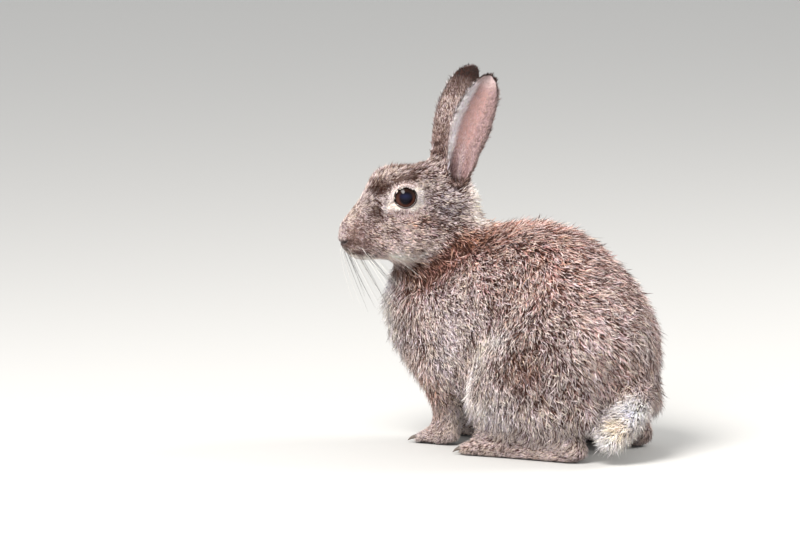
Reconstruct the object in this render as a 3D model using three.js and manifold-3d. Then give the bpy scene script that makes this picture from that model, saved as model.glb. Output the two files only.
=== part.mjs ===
// A wild rabbit, life size, sitting up and alert with its head turned to its left.
// Millimetres, +Z up. It faces -Y, its left side is +X, and its feet stand on Z = 0.
//
// The animal is one soft shape, a blend of named masses measured over the coat. Each part
// of the body is blown up from its own middle until it fills that blend, then parted from
// its neighbours along thin cuts. The ears and the tail are shapes of their own.

import * as THREE from "three";
import { mergeVertices } from "three/addons/utils/BufferGeometryUtils.js";
import Module from "manifold-3d";

const { clamp, degToRad, lerp, smoothstep } = THREE.MathUtils;
const vector = (point) => new THREE.Vector3(...point);

// ---------------------------------------------------------------- driving dimensions

const GAP = 0.3; // between neighbouring parts
const HALF = GAP / 2;
const REACH = 400; // longer than the animal, for rays and cutting blocks

const HEAD_AT = [2, -42, 140]; // where the skull meets the neck
const HEAD_TURN = 45; // degrees that the head looks to its left

const HIND_FOOT_HEIGHT = 17;
const FORELEG_TOP = 36;
const PAW_HEIGHT = 15;

const TOE_STEPS = [-1.5, -0.5, 0.5, 1.5]; // four toes, counted from the middle of the foot
const TOE_GATHER = 0.75; // the toes' roots stand this much closer together than their tips
const HIND_TOES = { x: 44, root: 8, tip: -14, spread: 5.2, radius: 4.3, round: 2.4 };
const FORE_TOES = { x: 19.5, root: -52, tip: -64, spread: 4.1, radius: 3.6, round: 2 };
const CLAW = { length: 9, radius: 1.5, sides: 6, bedded: 0.5 };

const EYE = { radius: 8.5, at: [15.8, -42, 22.2] };

// an ear's half curl goes from `rootCurl` degrees, nearly a tube, to `leafCurl`, a shallow leaf
const EAR = { rootRadius: 5.6, halfWidth: 13.4, widest: 0.58, thickness: 2.2, rootCurl: 160, leafCurl: 60 };
const EAR_SOCKET = [-0.05, 0.52]; // the stretch of the ear that the head makes room for
const EAR_KEELS = {
  left: [[7, -9, 17], [7, -4, 60], [16, 15, 99.5]],
  right: [[-7, -11, 17], [-8, -6, 62], [-14, 11, 102]],
};

const TAIL_LINE = [[-3, 82, 50], [4, 92, 42], [15, 95, 34], [26, 93, 25], [35, 90, 17]];
const TAIL_RADII = [9, 9.5, 10.5, 11, 10];

// how softly the masses of each part run into one another
const TRUNK_BLEND = 18;
const HAUNCH_BLEND = 12;
const FORELEG_BLEND = 10;
const BODY_BLEND = 9;
const HEAD_BLEND = 9;
const TAIL_BLEND = 4;
const FOOT_BLEND = 3;

// how finely each part is faceted
const BALL_DETAIL = { trunk: 8, neck: 6, head: 8, haunch: 6, eye: 2 };
const TUBE_DETAIL = {
  tail: { sides: 12, rings: 8, caps: 3 },
  hindFoot: { sides: 14, rings: 11, caps: 4 },
  foreleg: { sides: 14, rings: 5, caps: 3 },
  forepaw: { sides: 14, rings: 4, caps: 4 },
};
const EAR_DETAIL = { sides: 22, rings: 12, socketSides: 18, socketRings: 10 };

const COAT = { back: 0x8a7460, face: 0x86715f, leg: 0x93795f, tail: 0xd9d3ca, eye: 0x24150f };

const SIDES = [
  { word: "left", side: 1 },
  { word: "right", side: -1 },
];

// ---------------------------------------------------------------- fields
// A field is a function of a point: negative inside the shape, about the distance in mm.

function ellipsoid(at, radii, turn = [0, 0, 0]) {
  const toLocal = new THREE.Matrix4()
    .makeRotationFromEuler(new THREE.Euler(...turn.map(degToRad)))
    .setPosition(...at)
    .invert();
  const [a, b, c] = radii;
  const local = new THREE.Vector3();
  return (point) => {
    const { x, y, z } = local.copy(point).applyMatrix4(toLocal);
    const share = Math.sqrt((x / a) ** 2 + (y / b) ** 2 + (z / c) ** 2);
    const slope = Math.sqrt((x / a ** 2) ** 2 + (y / b ** 2) ** 2 + (z / c ** 2) ** 2);
    return slope > 0 ? (share * (share - 1)) / slope : -Math.min(a, b, c);
  };
}

function limb(from, to, startRadius, endRadius) {
  const start = vector(from);
  const along = vector(to).sub(start);
  const lengthSq = along.lengthSq();
  const offset = new THREE.Vector3();
  return (point) => {
    offset.copy(point).sub(start);
    const share = clamp(offset.dot(along) / lengthSq, 0, 1);
    offset.addScaledVector(along, -share);
    return offset.length() - lerp(startRadius, endRadius, share);
  };
}

function blend(fields, softness) {
  return (point) => {
    let nearest = Infinity;
    for (const field of fields) {
      const next = field(point);
      const overlap = Math.max(softness - Math.abs(nearest - next), 0) / softness;
      nearest = Math.min(nearest, next) - (overlap * overlap * softness) / 4;
    }
    return nearest;
  };
}

function movedBy(matrix, field) {
  const toLocal = matrix.clone().invert();
  const local = new THREE.Vector3();
  return (point) => field(local.copy(point).applyMatrix4(toLocal));
}

// ---------------------------------------------------------------- the animal's masses

function trunkField() {
  const chest = ellipsoid([0, -58, 86], [38, 41.5, 42]);
  const brisket = ellipsoid([0, -50, 61], [33, 31, 32]);
  const ribs = ellipsoid([0, -16, 91], [47, 56, 51]);
  const loin = ellipsoid([0, 16, 92.5], [50, 58, 54.5]);
  const belly = ellipsoid([0, 4, 62], [44, 64, 40]);
  const rump = ellipsoid([0, 51, 68], [49, 46.5, 52]);
  return blend([chest, brisket, ribs, loin, belly, rump], TRUNK_BLEND);
}

function neckField() {
  const nape = limb([3, -42, 128], [0, -12, 102], 21, 28);
  const throat = limb([7, -58, 122], [0, -58, 102], 26, 38.5);
  return blend([nape, throat], TRUNK_BLEND);
}

function haunchField(side) {
  const thigh = ellipsoid([side * 37, 36, 60], [27, 45, 47], [0, side * -8, 0]);
  const knee = ellipsoid([side * 46, 4, 38], [15, 18, 21]);
  const shank = ellipsoid([side * 42, 40, 30], [17, 43, 19]);
  return blend([thigh, knee, shank], HAUNCH_BLEND);
}

function toes(side, { x, root, tip, spread, radius, round }) {
  return TOE_STEPS.map((step) => ({
    root: [side * x + step * spread * TOE_GATHER, root, radius + 2.5],
    tip: [side * x + step * spread, tip + Math.abs(step) * round, radius + 0.2],
    radius,
  }));
}

const toeLimb = ({ root, tip, radius }) => limb(root, tip, radius * 1.15, radius);

function hindFootField(side) {
  const sole = limb([side * 40, 64, 8.5], [side * 44, 8, 7.5], 10.5, 9.5);
  return blend([sole, ...toes(side, HIND_TOES).map(toeLimb)], FOOT_BLEND);
}

function forelegField(side) {
  const elbow = ellipsoid([side * 25, -38, 56], [15, 25, 28], [14, 0, 0]);
  const forearm = limb([side * 22, -45, 48], [side * 19.5, -42, 16], 15, 9);
  return blend([elbow, forearm], FORELEG_BLEND);
}

function forepawField(side) {
  const x = side * FORE_TOES.x;
  const wrist = limb([x, -41, 18], [x, -44, 8], 8.8, 8.3);
  const palm = limb([x, -43, 7.5], [x, -53, 6.5], 9, 7.5);
  return blend([wrist, palm, ...toes(side, FORE_TOES).map(toeLimb)], FOOT_BLEND);
}

function tailField() {
  const lengths = TAIL_LINE.slice(1).map((end, i) =>
    limb(TAIL_LINE[i], end, TAIL_RADII[i], TAIL_RADII[i + 1]),
  );
  return blend(lengths, TAIL_BLEND);
}

// in the head's own frame: it faces -Y, with its left at +X and the neck behind the origin
function headField() {
  const skull = ellipsoid([0, -29, 13], [19, 33, 26]);
  const forehead = ellipsoid([0, -44.5, 23], [15.5, 18, 16]);
  const bridge = limb([0, -51, 22], [0, -74, 0], 11, 6);
  const muzzle = ellipsoid([0, -60, -3], [12, 19.5, 16], [12, 0, 0]);
  const chin = ellipsoid([0, -60, -13], [9, 13, 7]);
  const occiput = ellipsoid([0, -8, 4], [20, 16, 22]);
  const throat = ellipsoid([0, -30, -8], [17, 24, 15]);
  const pairs = SIDES.flatMap(({ side }) => [
    ellipsoid([side * 11.5, -35, -4], [13, 27, 18]), // cheek
    ellipsoid([side * 12.5, -42, 22], [7.5, 13, 11]), // round the eye
    ellipsoid([side * 8.5, -54, 7], [8, 15, 13]), // below and before the eye
    ellipsoid([side * 6.5, -68, -7], [7.5, 10.5, 8.5]), // whisker pad
    ellipsoid([side * 12, -43, 28], [6.5, 13, 7]), // brow
    ellipsoid([side * 10, -19, 32], [8, 12, 11]), // crown, before the ear
    ellipsoid([side * 13, -6, 20], [9, 11, 13]), // root of the ear
  ]);
  return blend([skull, forehead, bridge, muzzle, chin, occiput, throat, ...pairs], HEAD_BLEND);
}

const headMatrix = new THREE.Matrix4().makeRotationZ(degToRad(HEAD_TURN)).setPosition(...HEAD_AT);

const tail = tailField();
const neck = neckField();
const head = movedBy(headMatrix, headField());
const trunkAndLegs = SIDES.reduce(
  (masses, { side }) => [
    ...masses,
    haunchField(side),
    hindFootField(side),
    forelegField(side),
    forepawField(side),
  ],
  [trunkField()],
);
const bodyAndNeck = blend([...trunkAndLegs, neck], BODY_BLEND);
const headAndNeck = blend([neck, head], BODY_BLEND);
const animal = blend([...trunkAndLegs, neck, head], BODY_BLEND);

// ---------------------------------------------------------------- partings
// A parting is a plane; its normal points to the side that is kept.

const plane = (at, normal) => ({ at: vector(at), normal: vector(normal).normalize() });
const flipped = ({ at, normal }) => ({ at, normal: normal.clone().negate() });
const above = (height) => plane([0, 0, height], [0, 0, 1]);
const below = (height) => plane([0, 0, height], [0, 0, -1]);

const inHead = ({ at, normal }) => ({
  at: at.clone().applyMatrix4(headMatrix),
  normal: normal.clone().transformDirection(headMatrix),
});

const ABOVE_JAW = inHead(plane([0, 9, 14], [0, -39, 53]));
const ABOVE_SHOULDERS = plane([0, -20, 143], [0, -43, 75]);
const GROUND = above(0);

const haunchPartings = (side) => [
  plane([side * 32, 0, 60], [side * 10, 0, -1.2]),
  plane([0, -17, 36], [0, 89, -45]),
  above(HIND_FOOT_HEIGHT),
];
const forelegPartings = (side) => [
  below(FORELEG_TOP),
  plane([side * 6, 0, 0], [side, 0, 0]),
  plane([0, -22, FORELEG_TOP], [0, -10, 3]),
];

// ---------------------------------------------------------------- solids

const wasm = await Module();
wasm.setup();

function bareMesh(geometry) {
  const bare = geometry.clone();
  bare.deleteAttribute("normal");
  bare.deleteAttribute("uv");
  return mergeVertices(bare);
}

function solidOf(geometry) {
  const merged = bareMesh(geometry);
  const vertProperties = new Float32Array(merged.attributes.position.array);
  const triVerts = new Uint32Array(merged.index.array);
  return new wasm.Manifold(new wasm.Mesh({ numProp: 3, vertProperties, triVerts }));
}

function geometryOf(solid) {
  const { vertProperties, triVerts } = solid.getMesh();
  const geometry = new THREE.BufferGeometry();
  geometry.setAttribute("position", new THREE.BufferAttribute(vertProperties, 3));
  geometry.setIndex(new THREE.BufferAttribute(triVerts, 1));
  return geometry;
}

// moves every vertex of a geometry to the place that `place` gives for it
function reshaped(geometry, place) {
  const places = geometry.attributes.position;
  const uv = geometry.attributes.uv;
  const local = new THREE.Vector3();
  for (let i = 0; i < places.count; i++) {
    local.fromBufferAttribute(places, i);
    const spot = place(local, uv?.getX(i), uv?.getY(i));
    places.setXYZ(i, spot.x, spot.y, spot.z);
  }
  return geometry;
}

// the first place where a ray from `start` comes out of the field, `grow` mm outside it
function skinPoint(field, start, direction, grow) {
  const point = new THREE.Vector3();
  const at = (distance) => field(point.copy(start).addScaledVector(direction, distance)) - grow;
  let inside = 0;
  let outside = 0;
  while (outside < REACH && at(outside) < 0) {
    inside = outside;
    outside += Math.max(0.4, -0.7 * at(outside));
  }
  for (let step = 0; step < 24; step++) {
    const middle = (inside + outside) / 2;
    if (at(middle) < 0) inside = middle;
    else outside = middle;
  }
  return point.copy(start).addScaledVector(direction, outside);
}

// a ball blown up from `middle` until it fills the field
function fillFrom(middle, detail, field) {
  const ball = bareMesh(new THREE.IcosahedronGeometry(1, detail));
  return solidOf(reshaped(ball, (local) => skinPoint(field, middle, local.normalize(), 0)));
}

// a capsule bent along `line` and blown up until it fills the field
function fillAlong(line, { sides, rings, caps }, field, grow = 0) {
  const curve = new THREE.CatmullRomCurve3(line.map(vector));
  const halfLength = 1;
  const capsule = bareMesh(new THREE.CapsuleGeometry(1, 2 * halfLength, caps, sides, rings));
  return solidOf(
    reshaped(capsule, (local) => {
      const height = clamp(local.y, -halfLength, halfLength);
      const share = (height / halfLength + 1) / 2;
      const start = curve.getPointAt(share);
      const along = curve.getTangentAt(share);
      const across = new THREE.Vector3(1, 0, 0).addScaledVector(along, -along.x).normalize();
      const direction = new THREE.Vector3()
        .addScaledVector(across, local.x)
        .addScaledVector(along, local.y - height)
        .addScaledVector(new THREE.Vector3().crossVectors(across, along), local.z);
      return skinPoint(field, start, direction.normalize(), grow);
    }),
  );
}

// all space on the kept side of a parting, moved back by `grow`
function halfSpace({ at, normal }, grow) {
  const block = new THREE.BoxGeometry(REACH, REACH, REACH).translate(0, 0, REACH / 2 - grow);
  const up = new THREE.Vector3(0, 0, 1);
  block.applyQuaternion(new THREE.Quaternion().setFromUnitVectors(up, normal));
  return solidOf(block.translate(at.x, at.y, at.z));
}

const common = (solids) => solids.reduce((first, next) => first.intersect(next));
const region = (partings, grow) => common(partings.map((parting) => halfSpace(parting, grow)));
const without = (solid, others) => others.reduce((rest, other) => rest.subtract(other), solid);
const joined = (solids) => solids.reduce((first, next) => first.add(next));

function largestPiece(solid) {
  return solid.decompose().reduce((best, next) => (next.volume() > best.volume() ? next : best));
}

// ---------------------------------------------------------------- ears and eyes
// An ear is a leaf curled round its keel: nearly a tube at the root, open above.

function earWidth(share) {
  const { rootRadius, halfWidth, widest } = EAR;
  if (share < widest) return lerp(rootRadius, halfWidth, smoothstep(share, 0, widest));
  return halfWidth * Math.sqrt(1 - ((share - widest) / (1 - widest)) ** 2);
}

// the arc that an ear's wall follows at `share` of the way from root to tip
function earArc(word, share) {
  const keel = new THREE.QuadraticBezierCurve3(...EAR_KEELS[word].map(vector));
  const up = keel.getTangent(share);
  const open = new THREE.Vector3(word === "left" ? 1 : -1, -0.12, 0);
  open.addScaledVector(up, -open.dot(up)).normalize();
  const across = new THREE.Vector3().crossVectors(up, open);
  const halfCurl = degToRad(lerp(EAR.rootCurl, EAR.leafCurl, smoothstep(share, 0.05, 0.5)));
  const radius = Math.max(earWidth(share), 0.5) / Math.sin(Math.min(halfCurl, Math.PI / 2));
  const centre = keel.getPoint(share).addScaledVector(open, radius);
  const at = (angle, distance) =>
    centre
      .clone()
      .addScaledVector(open, -distance * Math.cos(angle))
      .addScaledVector(across, distance * Math.sin(angle));
  return { halfCurl, radius, at };
}

const endwise = (v) => (1 - Math.cos(Math.PI * v)) / 2; // crowds the rings at both ends

function earSolid(word) {
  const { sides, rings } = EAR_DETAIL;
  const place = (_, u, v) => {
    const { halfCurl, radius, at } = earArc(word, endwise(v));
    const turn = v === 0 || v === 1 ? 0.25 : (1 - u) % 1;
    const outside = turn < 0.5;
    const sweep = outside ? turn * 4 - 1 : 3 - turn * 4;
    const wall = (EAR.thickness / 2) * Math.sqrt(1 - sweep ** 4);
    return at(halfCurl * sweep, radius + (outside ? wall : -wall));
  };
  return solidOf(reshaped(new THREE.SphereGeometry(1, sides, rings), place).applyMatrix4(headMatrix));
}

// the round socket that the root of an ear stands in
function earSocket(word) {
  const { socketSides, socketRings } = EAR_DETAIL;
  const place = (_, u, v) => {
    const { radius, at } = earArc(word, lerp(...EAR_SOCKET, v));
    const wide = v === 0 || v === 1 ? 0 : radius + EAR.thickness / 2 + 3 * GAP;
    return at(-2 * Math.PI * (u % 1), wide);
  };
  const plug = reshaped(new THREE.SphereGeometry(1, socketSides, socketRings), place);
  return solidOf(plug.applyMatrix4(headMatrix));
}

function eyeSolid(side, grow = 0) {
  const [x, y, z] = EYE.at;
  const ball = new THREE.IcosahedronGeometry(EYE.radius + grow, BALL_DETAIL.eye).translate(side * x, y, z);
  return solidOf(ball.applyMatrix4(headMatrix));
}

// ---------------------------------------------------------------- parts of the body

function tailSolid(grow = 0) {
  return fillAlong(TAIL_LINE, TUBE_DETAIL.tail, tail, grow);
}

function trunkSolid() {
  const own = [flipped(ABOVE_SHOULDERS), above(HIND_FOOT_HEIGHT)];
  const whole = fillFrom(vector([0, 6, 88]), BALL_DETAIL.trunk, bodyAndNeck);
  const taken = SIDES.flatMap(({ side }) => [
    region(haunchPartings(side), HALF),
    region(forelegPartings(side), HALF),
  ]);
  return without(common([whole, region(own, -HALF)]), [...taken, tailSolid(GAP)]);
}

function neckSolid() {
  const own = [ABOVE_SHOULDERS, flipped(ABOVE_JAW)];
  const whole = fillFrom(vector([0, -34, 126]), BALL_DETAIL.neck, animal);
  return common([whole, region(own, -HALF)]);
}

function headSolid() {
  const middle = vector([0, -38, 8]).applyMatrix4(headMatrix);
  const whole = fillFrom(middle, BALL_DETAIL.head, headAndNeck);
  const sockets = SIDES.flatMap(({ side, word }) => [eyeSolid(side, GAP), earSocket(word)]);
  return without(common([whole, region([ABOVE_JAW], -HALF)]), sockets);
}

function haunchSolid(side) {
  const own = haunchPartings(side);
  const whole = fillFrom(vector([side * 42, 34, 58]), BALL_DETAIL.haunch, bodyAndNeck);
  return without(common([whole, region(own, -HALF)]), [tailSolid(GAP)]);
}

function clawSolid({ tip, radius }) {
  const cone = new THREE.ConeGeometry(CLAW.radius, CLAW.length, CLAW.sides);
  const way = new THREE.Vector3(0, -1, -0.3).normalize();
  cone.applyQuaternion(new THREE.Quaternion().setFromUnitVectors(new THREE.Vector3(0, 1, 0), way));
  return solidOf(cone.translate(tip[0], tip[1] - radius - CLAW.bedded, tip[2]));
}

function footSolid({ line, shape, height, side, toePlan }) {
  const whole = fillAlong(line, shape, bodyAndNeck);
  const claws = toes(side, toePlan).map(clawSolid);
  return common([joined([whole, ...claws]), region([below(height)], -HALF), region([GROUND], 0)]);
}

function hindFootSolid(side) {
  return footSolid({
    line: [[side * 40, 62, 8], [side * 43, 30, 8], [side * 44, -7, 5.5]],
    shape: TUBE_DETAIL.hindFoot,
    height: HIND_FOOT_HEIGHT,
    side,
    toePlan: HIND_TOES,
  });
}

function forepawSolid(side) {
  const x = side * FORE_TOES.x;
  return footSolid({
    line: [[x, -41, 14], [x, -46, 7.5], [x, -58, 5]],
    shape: TUBE_DETAIL.forepaw,
    height: PAW_HEIGHT,
    side,
    toePlan: FORE_TOES,
  });
}

function forelegSolid(side) {
  const own = [...forelegPartings(side), above(PAW_HEIGHT)];
  const line = [[side * 22, -42, 42], [side * 19.5, -41, 12]];
  const whole = fillAlong(line, TUBE_DETAIL.foreleg, bodyAndNeck);
  return common([whole, region(own, -HALF)]);
}

// ---------------------------------------------------------------- the scene

// a mesh about its own middle, for a part shaped in the frame of `group`
function addPart(group, name, solid, color, roughness = 0.95) {
  const geometry = geometryOf(largestPiece(solid));
  group.updateMatrix();
  geometry.applyMatrix4(group.matrix.clone().invert());
  geometry.computeBoundingBox();
  const middle = geometry.boundingBox.getCenter(new THREE.Vector3());
  geometry.translate(-middle.x, -middle.y, -middle.z);
  const part = new THREE.Mesh(geometry, new THREE.MeshStandardMaterial({ color, roughness, metalness: 0 }));
  part.name = name;
  part.position.copy(middle);
  group.add(part);
}

const body = new THREE.Group();
addPart(body, "trunk", trunkSolid(), COAT.back);
addPart(body, "neck", neckSolid(), COAT.back);
addPart(body, "tail", tailSolid(), COAT.tail);

const skull = new THREE.Group();
skull.position.set(...HEAD_AT);
skull.rotation.z = degToRad(HEAD_TURN);
addPart(skull, "head", headSolid(), COAT.face);

for (const { word, side } of SIDES) {
  addPart(body, `${word}_haunch`, haunchSolid(side), COAT.back);
  addPart(body, `${word}_hind_foot`, hindFootSolid(side), COAT.leg);
  addPart(body, `${word}_foreleg`, forelegSolid(side), COAT.leg);
  addPart(body, `${word}_forepaw`, forepawSolid(side), COAT.leg);
  addPart(skull, `${word}_ear`, earSolid(word), COAT.face);
  addPart(skull, `${word}_eye`, eyeSolid(side), COAT.eye, 0.1);
}

// the origin is on the ground, under the middle of the animal's box
const rabbit = new THREE.Group();
rabbit.add(body, skull);
const box = new THREE.Box3().setFromObject(rabbit, true);
const middle = box.getCenter(new THREE.Vector3());
rabbit.position.set(-middle.x, -middle.y, -box.min.z);

export default rabbit;
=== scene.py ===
"""A wild rabbit, life size, sitting up and alert with its head turned to its left.

One skin covers the flesh, inside it by the depth of the coat. The coat is a great many small
closed locks of fur, laid over the skin along the way the hair lies. Lengths in this file are
millimetres unless they say otherwise; meshes are scaled to metres as they are made.
"""
import math

import bmesh
import bpy
import numpy as np
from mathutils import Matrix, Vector
from mathutils.bvhtree import BVHTree


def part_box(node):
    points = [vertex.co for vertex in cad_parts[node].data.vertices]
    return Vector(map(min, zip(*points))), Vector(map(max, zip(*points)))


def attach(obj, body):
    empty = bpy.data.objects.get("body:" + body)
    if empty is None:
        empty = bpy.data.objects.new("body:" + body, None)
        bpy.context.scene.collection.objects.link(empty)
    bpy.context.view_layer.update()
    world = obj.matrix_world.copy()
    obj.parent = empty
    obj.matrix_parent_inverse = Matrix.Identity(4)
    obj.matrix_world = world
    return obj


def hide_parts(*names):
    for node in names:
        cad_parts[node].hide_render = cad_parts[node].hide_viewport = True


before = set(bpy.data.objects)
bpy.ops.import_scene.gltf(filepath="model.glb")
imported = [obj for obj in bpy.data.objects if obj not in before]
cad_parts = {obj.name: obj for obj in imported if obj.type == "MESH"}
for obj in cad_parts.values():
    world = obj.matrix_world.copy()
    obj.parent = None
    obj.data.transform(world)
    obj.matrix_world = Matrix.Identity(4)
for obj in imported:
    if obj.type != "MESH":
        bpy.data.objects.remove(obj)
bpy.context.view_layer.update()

MM = 0.001
RNG = np.random.default_rng(7)
SIDES = ((1, "left"), (-1, "right"))

# ---- the coat, part by part
# depth: from the skin to the tips. length, width: of one lock. lift: degrees it stands off the
# skin. density: locks in a square millimetre. flow: the way the hair lies, in the body's frame
# or, for the head, in the head's.

COAT = {
    "trunk": (5.5, 11.5, 0.60, 25, 1.55, (0, 1, -0.55)),
    "neck": (5.0, 10.5, 0.56, 26, 1.9, (-0.1, 0.8, -0.7)),
    "haunch": (5.0, 11.0, 0.60, 23, 1.6, (0, 0.45, -1)),
    "tail": (4.5, 10.0, 0.48, 38, 2.8, (0.75, -0.5, -0.3)),
    "head": (2.2, 5.2, 0.46, 21, 3.7, (0, 1, -0.3)),
    "foreleg": (2.4, 7.0, 0.50, 16, 2.6, (0, 0, -1)),
    "forepaw": (1.3, 3.6, 0.36, 12, 4.0, (0, -1, -0.4)),
    "hind_foot": (1.5, 4.4, 0.38, 12, 3.5, (0, -1, -0.25)),
    "ear": (0.7, 3.6, 0.38, 8, 5.2, (0, 0.2, 1)),
}
KINDS = list(COAT)
DEPTHS = np.array([row[0] for row in COAT.values()])
LOCKS = np.array([row[1:5] for row in COAT.values()])
FLOWS = np.array([row[5] for row in COAT.values()], float)
LOCAL_LOCKS = {  # length, width, lift and density where a part's own don't serve
    "muzzle": (2.6, 0.38, 14, 6.2),
    "cheek": (7.0, 0.6, 22, 2.5),
    "crown": (6.0, 0.52, 34, 2.9),
    "ruff": (9.5, 0.62, 36, 2.2),
    "eye ring": (2.4, 0.32, 15, 7.0),
    "nostril": (1.2, 0.28, 14, 12.0),
    "ear lining": (3.4, 0.24, 6, 3.0),
    "ear fringe": (5.0, 0.34, 16, 4.2),
    "ear hollow": (5.5, 0.34, 16, 3.6),
}
SMOOTH_COAT = 26  # passes that run one part's coat into the next
PIECES = 8  # coat meshes; each holds locks from all over the animal
PATCH = 0.003  # side of a lock's patch in the bake map
LONG_LOCK = 12.7  # locks longer than this bend in two places
SHADE = np.array([0.15, 0.085, 0.07])  # painted shade: the skin's colour under deep fur, against the fur's, darkened for the shadow in the gaps between the locks
DARK_SHARE = 0.34  # of the locks
GUARD_LENGTH = 9  # dark locks longer than this may be guard hairs, which stand out
CLUMP = 4.4  # across a clump of locks whose tips run together
FLOOR_GAP = 0.1  # the lowest that a lock may hang

# ---- frames of reference

EYE_RADIUS = 8.5
EYE_IN_HEAD = np.array([15.8, -42.0, 22.2])  # the left eye's middle, in the head's frame


def corners(node):
    low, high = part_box(node)
    return np.array(low) / MM, np.array(high) / MM


def head_axes():
    """The head faces -Y of its own frame, with its left at +X, as its two eyes show."""
    left, right = (sum(corners(f"{word}_eye")) / 2 for _, word in SIDES)
    x = (left - right) / np.linalg.norm(left - right)
    z = np.array([0.0, 0.0, 1.0])
    axes = np.stack([x, np.cross(z, x), z])
    return axes, (left + right) / 2 - EYE_IN_HEAD[1:] @ axes[1:]


HEAD_AXES, HEAD_ORIGIN = head_axes()
HEAD_IN_BODY = np.array([2.0, -42.0, 140.0])  # the head's origin in the body's own frame
SHIFT = HEAD_ORIGIN - HEAD_IN_BODY  # from the body's own frame to this scene's
SHIFT_X, SHIFT_XY = SHIFT * np.array([[1, 0, 0], [1, 1, 0]])


def to_head(points):
    return (points - HEAD_ORIGIN) @ HEAD_AXES.T


def from_head(points):
    return points @ HEAD_AXES + HEAD_ORIGIN


def sided(place, side):
    """A place on the animal's left, or with side -1 the same place on its right."""
    return place * np.array([side, 1, 1])


def mirrored(points):
    """The points with those on the right brought over to the left."""
    return points * np.where(points[:, :1] < 0, [[-1, 1, 1]], [[1, 1, 1]])


# ---- small numeric helpers


def unit(v):
    return v / np.maximum(np.linalg.norm(v, axis=-1, keepdims=True), 1e-9)


def step(x, low, high):
    """0 at low and 1 at high, with soft ends; low may be the greater."""
    t = np.clip((x - low) / (high - low), 0, 1)
    return t * t * (3 - 2 * t)


def mix(a, b, t):
    a, b = np.asarray(a), np.asarray(b)
    return a + (b - a) * t


def tangent(v, normal):
    """v laid into the surface."""
    return unit(v - normal * (v * normal).sum(-1, keepdims=True))


def bell(x, width):
    """1 where x is 0, falling softly over the width."""
    return np.exp(-((x / width) ** 2))


def near(points, at, radii):
    """1 at a place, falling softly over the radii, as a column."""
    return np.exp(-(((points - np.array(at)) / np.array(radii)) ** 2).sum(-1))[:, None]


def share_of(weights, kind):
    """How much each point belongs to one part of the coat, as a column."""
    return weights[:, [KINDS.index(kind)]]


def hashed(cells, seed):
    """An even random number from 0 to 1 for each whole-number cell."""
    x, y, z = (cells[..., i].astype(np.int64) for i in range(3))
    h = (x * 73856093) ^ (y * 19349663) ^ (z * 83492791) ^ (seed * 2654435761)
    h = (h ^ (h >> 13)) * 1274126177
    h = h ^ (h >> 16)
    return (h & 0xFFFFFF) / float(0xFFFFFF)


def noise(points, size, seed):
    """Smooth value noise from -1 to 1, with lumps about `size` across."""
    at = points / size
    cell = np.floor(at).astype(np.int64)
    share = at - cell
    share = share * share * (3 - 2 * share)
    total = 0
    for corner in np.ndindex(2, 2, 2):
        weight = np.prod(np.where(np.array(corner) == 1, share, 1 - share), axis=-1)
        total = total + weight * hashed(cell + np.array(corner), seed)
    return total * 2 - 1


def round_turn(count):
    """Evenly spaced angles, once round."""
    return np.arange(count) / count * 2 * np.pi


# ---- mesh helpers


def make_mesh(name, points, faces, smooth=True):
    """An object from points in mm and an array of triangles or quads."""
    mesh = bpy.data.meshes.new(name)
    sides = faces.shape[1]
    mesh.vertices.add(len(points))
    put_points(mesh, points, False)
    mesh.loops.add(faces.size)
    mesh.loops.foreach_set("vertex_index", faces.astype(np.int32).ravel())
    mesh.polygons.add(len(faces))
    mesh.polygons.foreach_set("loop_start", np.arange(0, faces.size, sides, dtype=np.int32))
    mesh.polygons.foreach_set("use_smooth", np.full(len(faces), smooth))
    mesh.update(calc_edges=True)
    return add_object(name, mesh)


def add_object(name, data):
    obj = bpy.data.objects.new(name, data)
    bpy.context.scene.collection.objects.link(obj)
    return obj


def fetch(items, name, width, kind=np.float32):
    """One property of every item, as an array with a row for each."""
    out = np.empty(len(items) * width, kind)
    items.foreach_get(name, out)
    return out.reshape(-1, width)


def points_of(mesh):
    return fetch(mesh.vertices, "co", 3).astype(float) / MM


def normals_of(mesh):
    return fetch(mesh.vertex_normals, "vector", 3).astype(float)


def edges_of(mesh):
    return fetch(mesh.edges, "vertices", 2, np.int32)


def triangles_of(mesh, name="vertices"):
    mesh.calc_loop_triangles()
    return fetch(mesh.loop_triangles, name, 3, np.int32)


def put_points(mesh, points, update=True):
    mesh.vertices.foreach_set("co", (points * MM).astype(np.float32).ravel())
    if update:
        mesh.update()


def put_values(mesh, name, kind, values):
    """An attribute of the points: FLOAT, FLOAT_VECTOR, or FLOAT_COLOR from three columns."""
    field = {"FLOAT": "value", "FLOAT_VECTOR": "vector", "FLOAT_COLOR": "color"}[kind]
    if kind == "FLOAT_COLOR":
        values = np.concatenate([values, np.ones((len(values), 1))], 1)
    layer = mesh.attributes.new(name, kind, "POINT")
    layer.data.foreach_set(field, values.astype(np.float32).ravel())


def spread(values, edges, passes, share=1.0):
    """Averages each vertex's values with its neighbours', over and over."""
    count = len(values)
    a, b = edges[:, 0], edges[:, 1]
    degree = np.bincount(a, minlength=count) + np.bincount(b, minlength=count)
    degree = np.maximum(degree, 1)[:, None]
    for _ in range(passes):
        columns = [
            np.bincount(a, column[b], count) + np.bincount(b, column[a], count)
            for column in values.T
        ]
        values = values + share * (np.stack(columns, axis=1) / degree - values)
    return values


def smooth(mesh, rounds):
    """Smooths a surface without shrinking it."""
    points, edges = points_of(mesh), edges_of(mesh)
    for _ in range(rounds):
        for share in (0.6, -0.62):
            points = spread(points, edges, 1, share)
    put_points(mesh, points)


def joined(parts):
    """Several (points, faces) as one."""
    points, faces, offset = [], [], 0
    for p, f in parts:
        points.append(p)
        faces.append(f + offset)
        offset += len(p)
    return np.concatenate(points), np.concatenate(faces)


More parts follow.
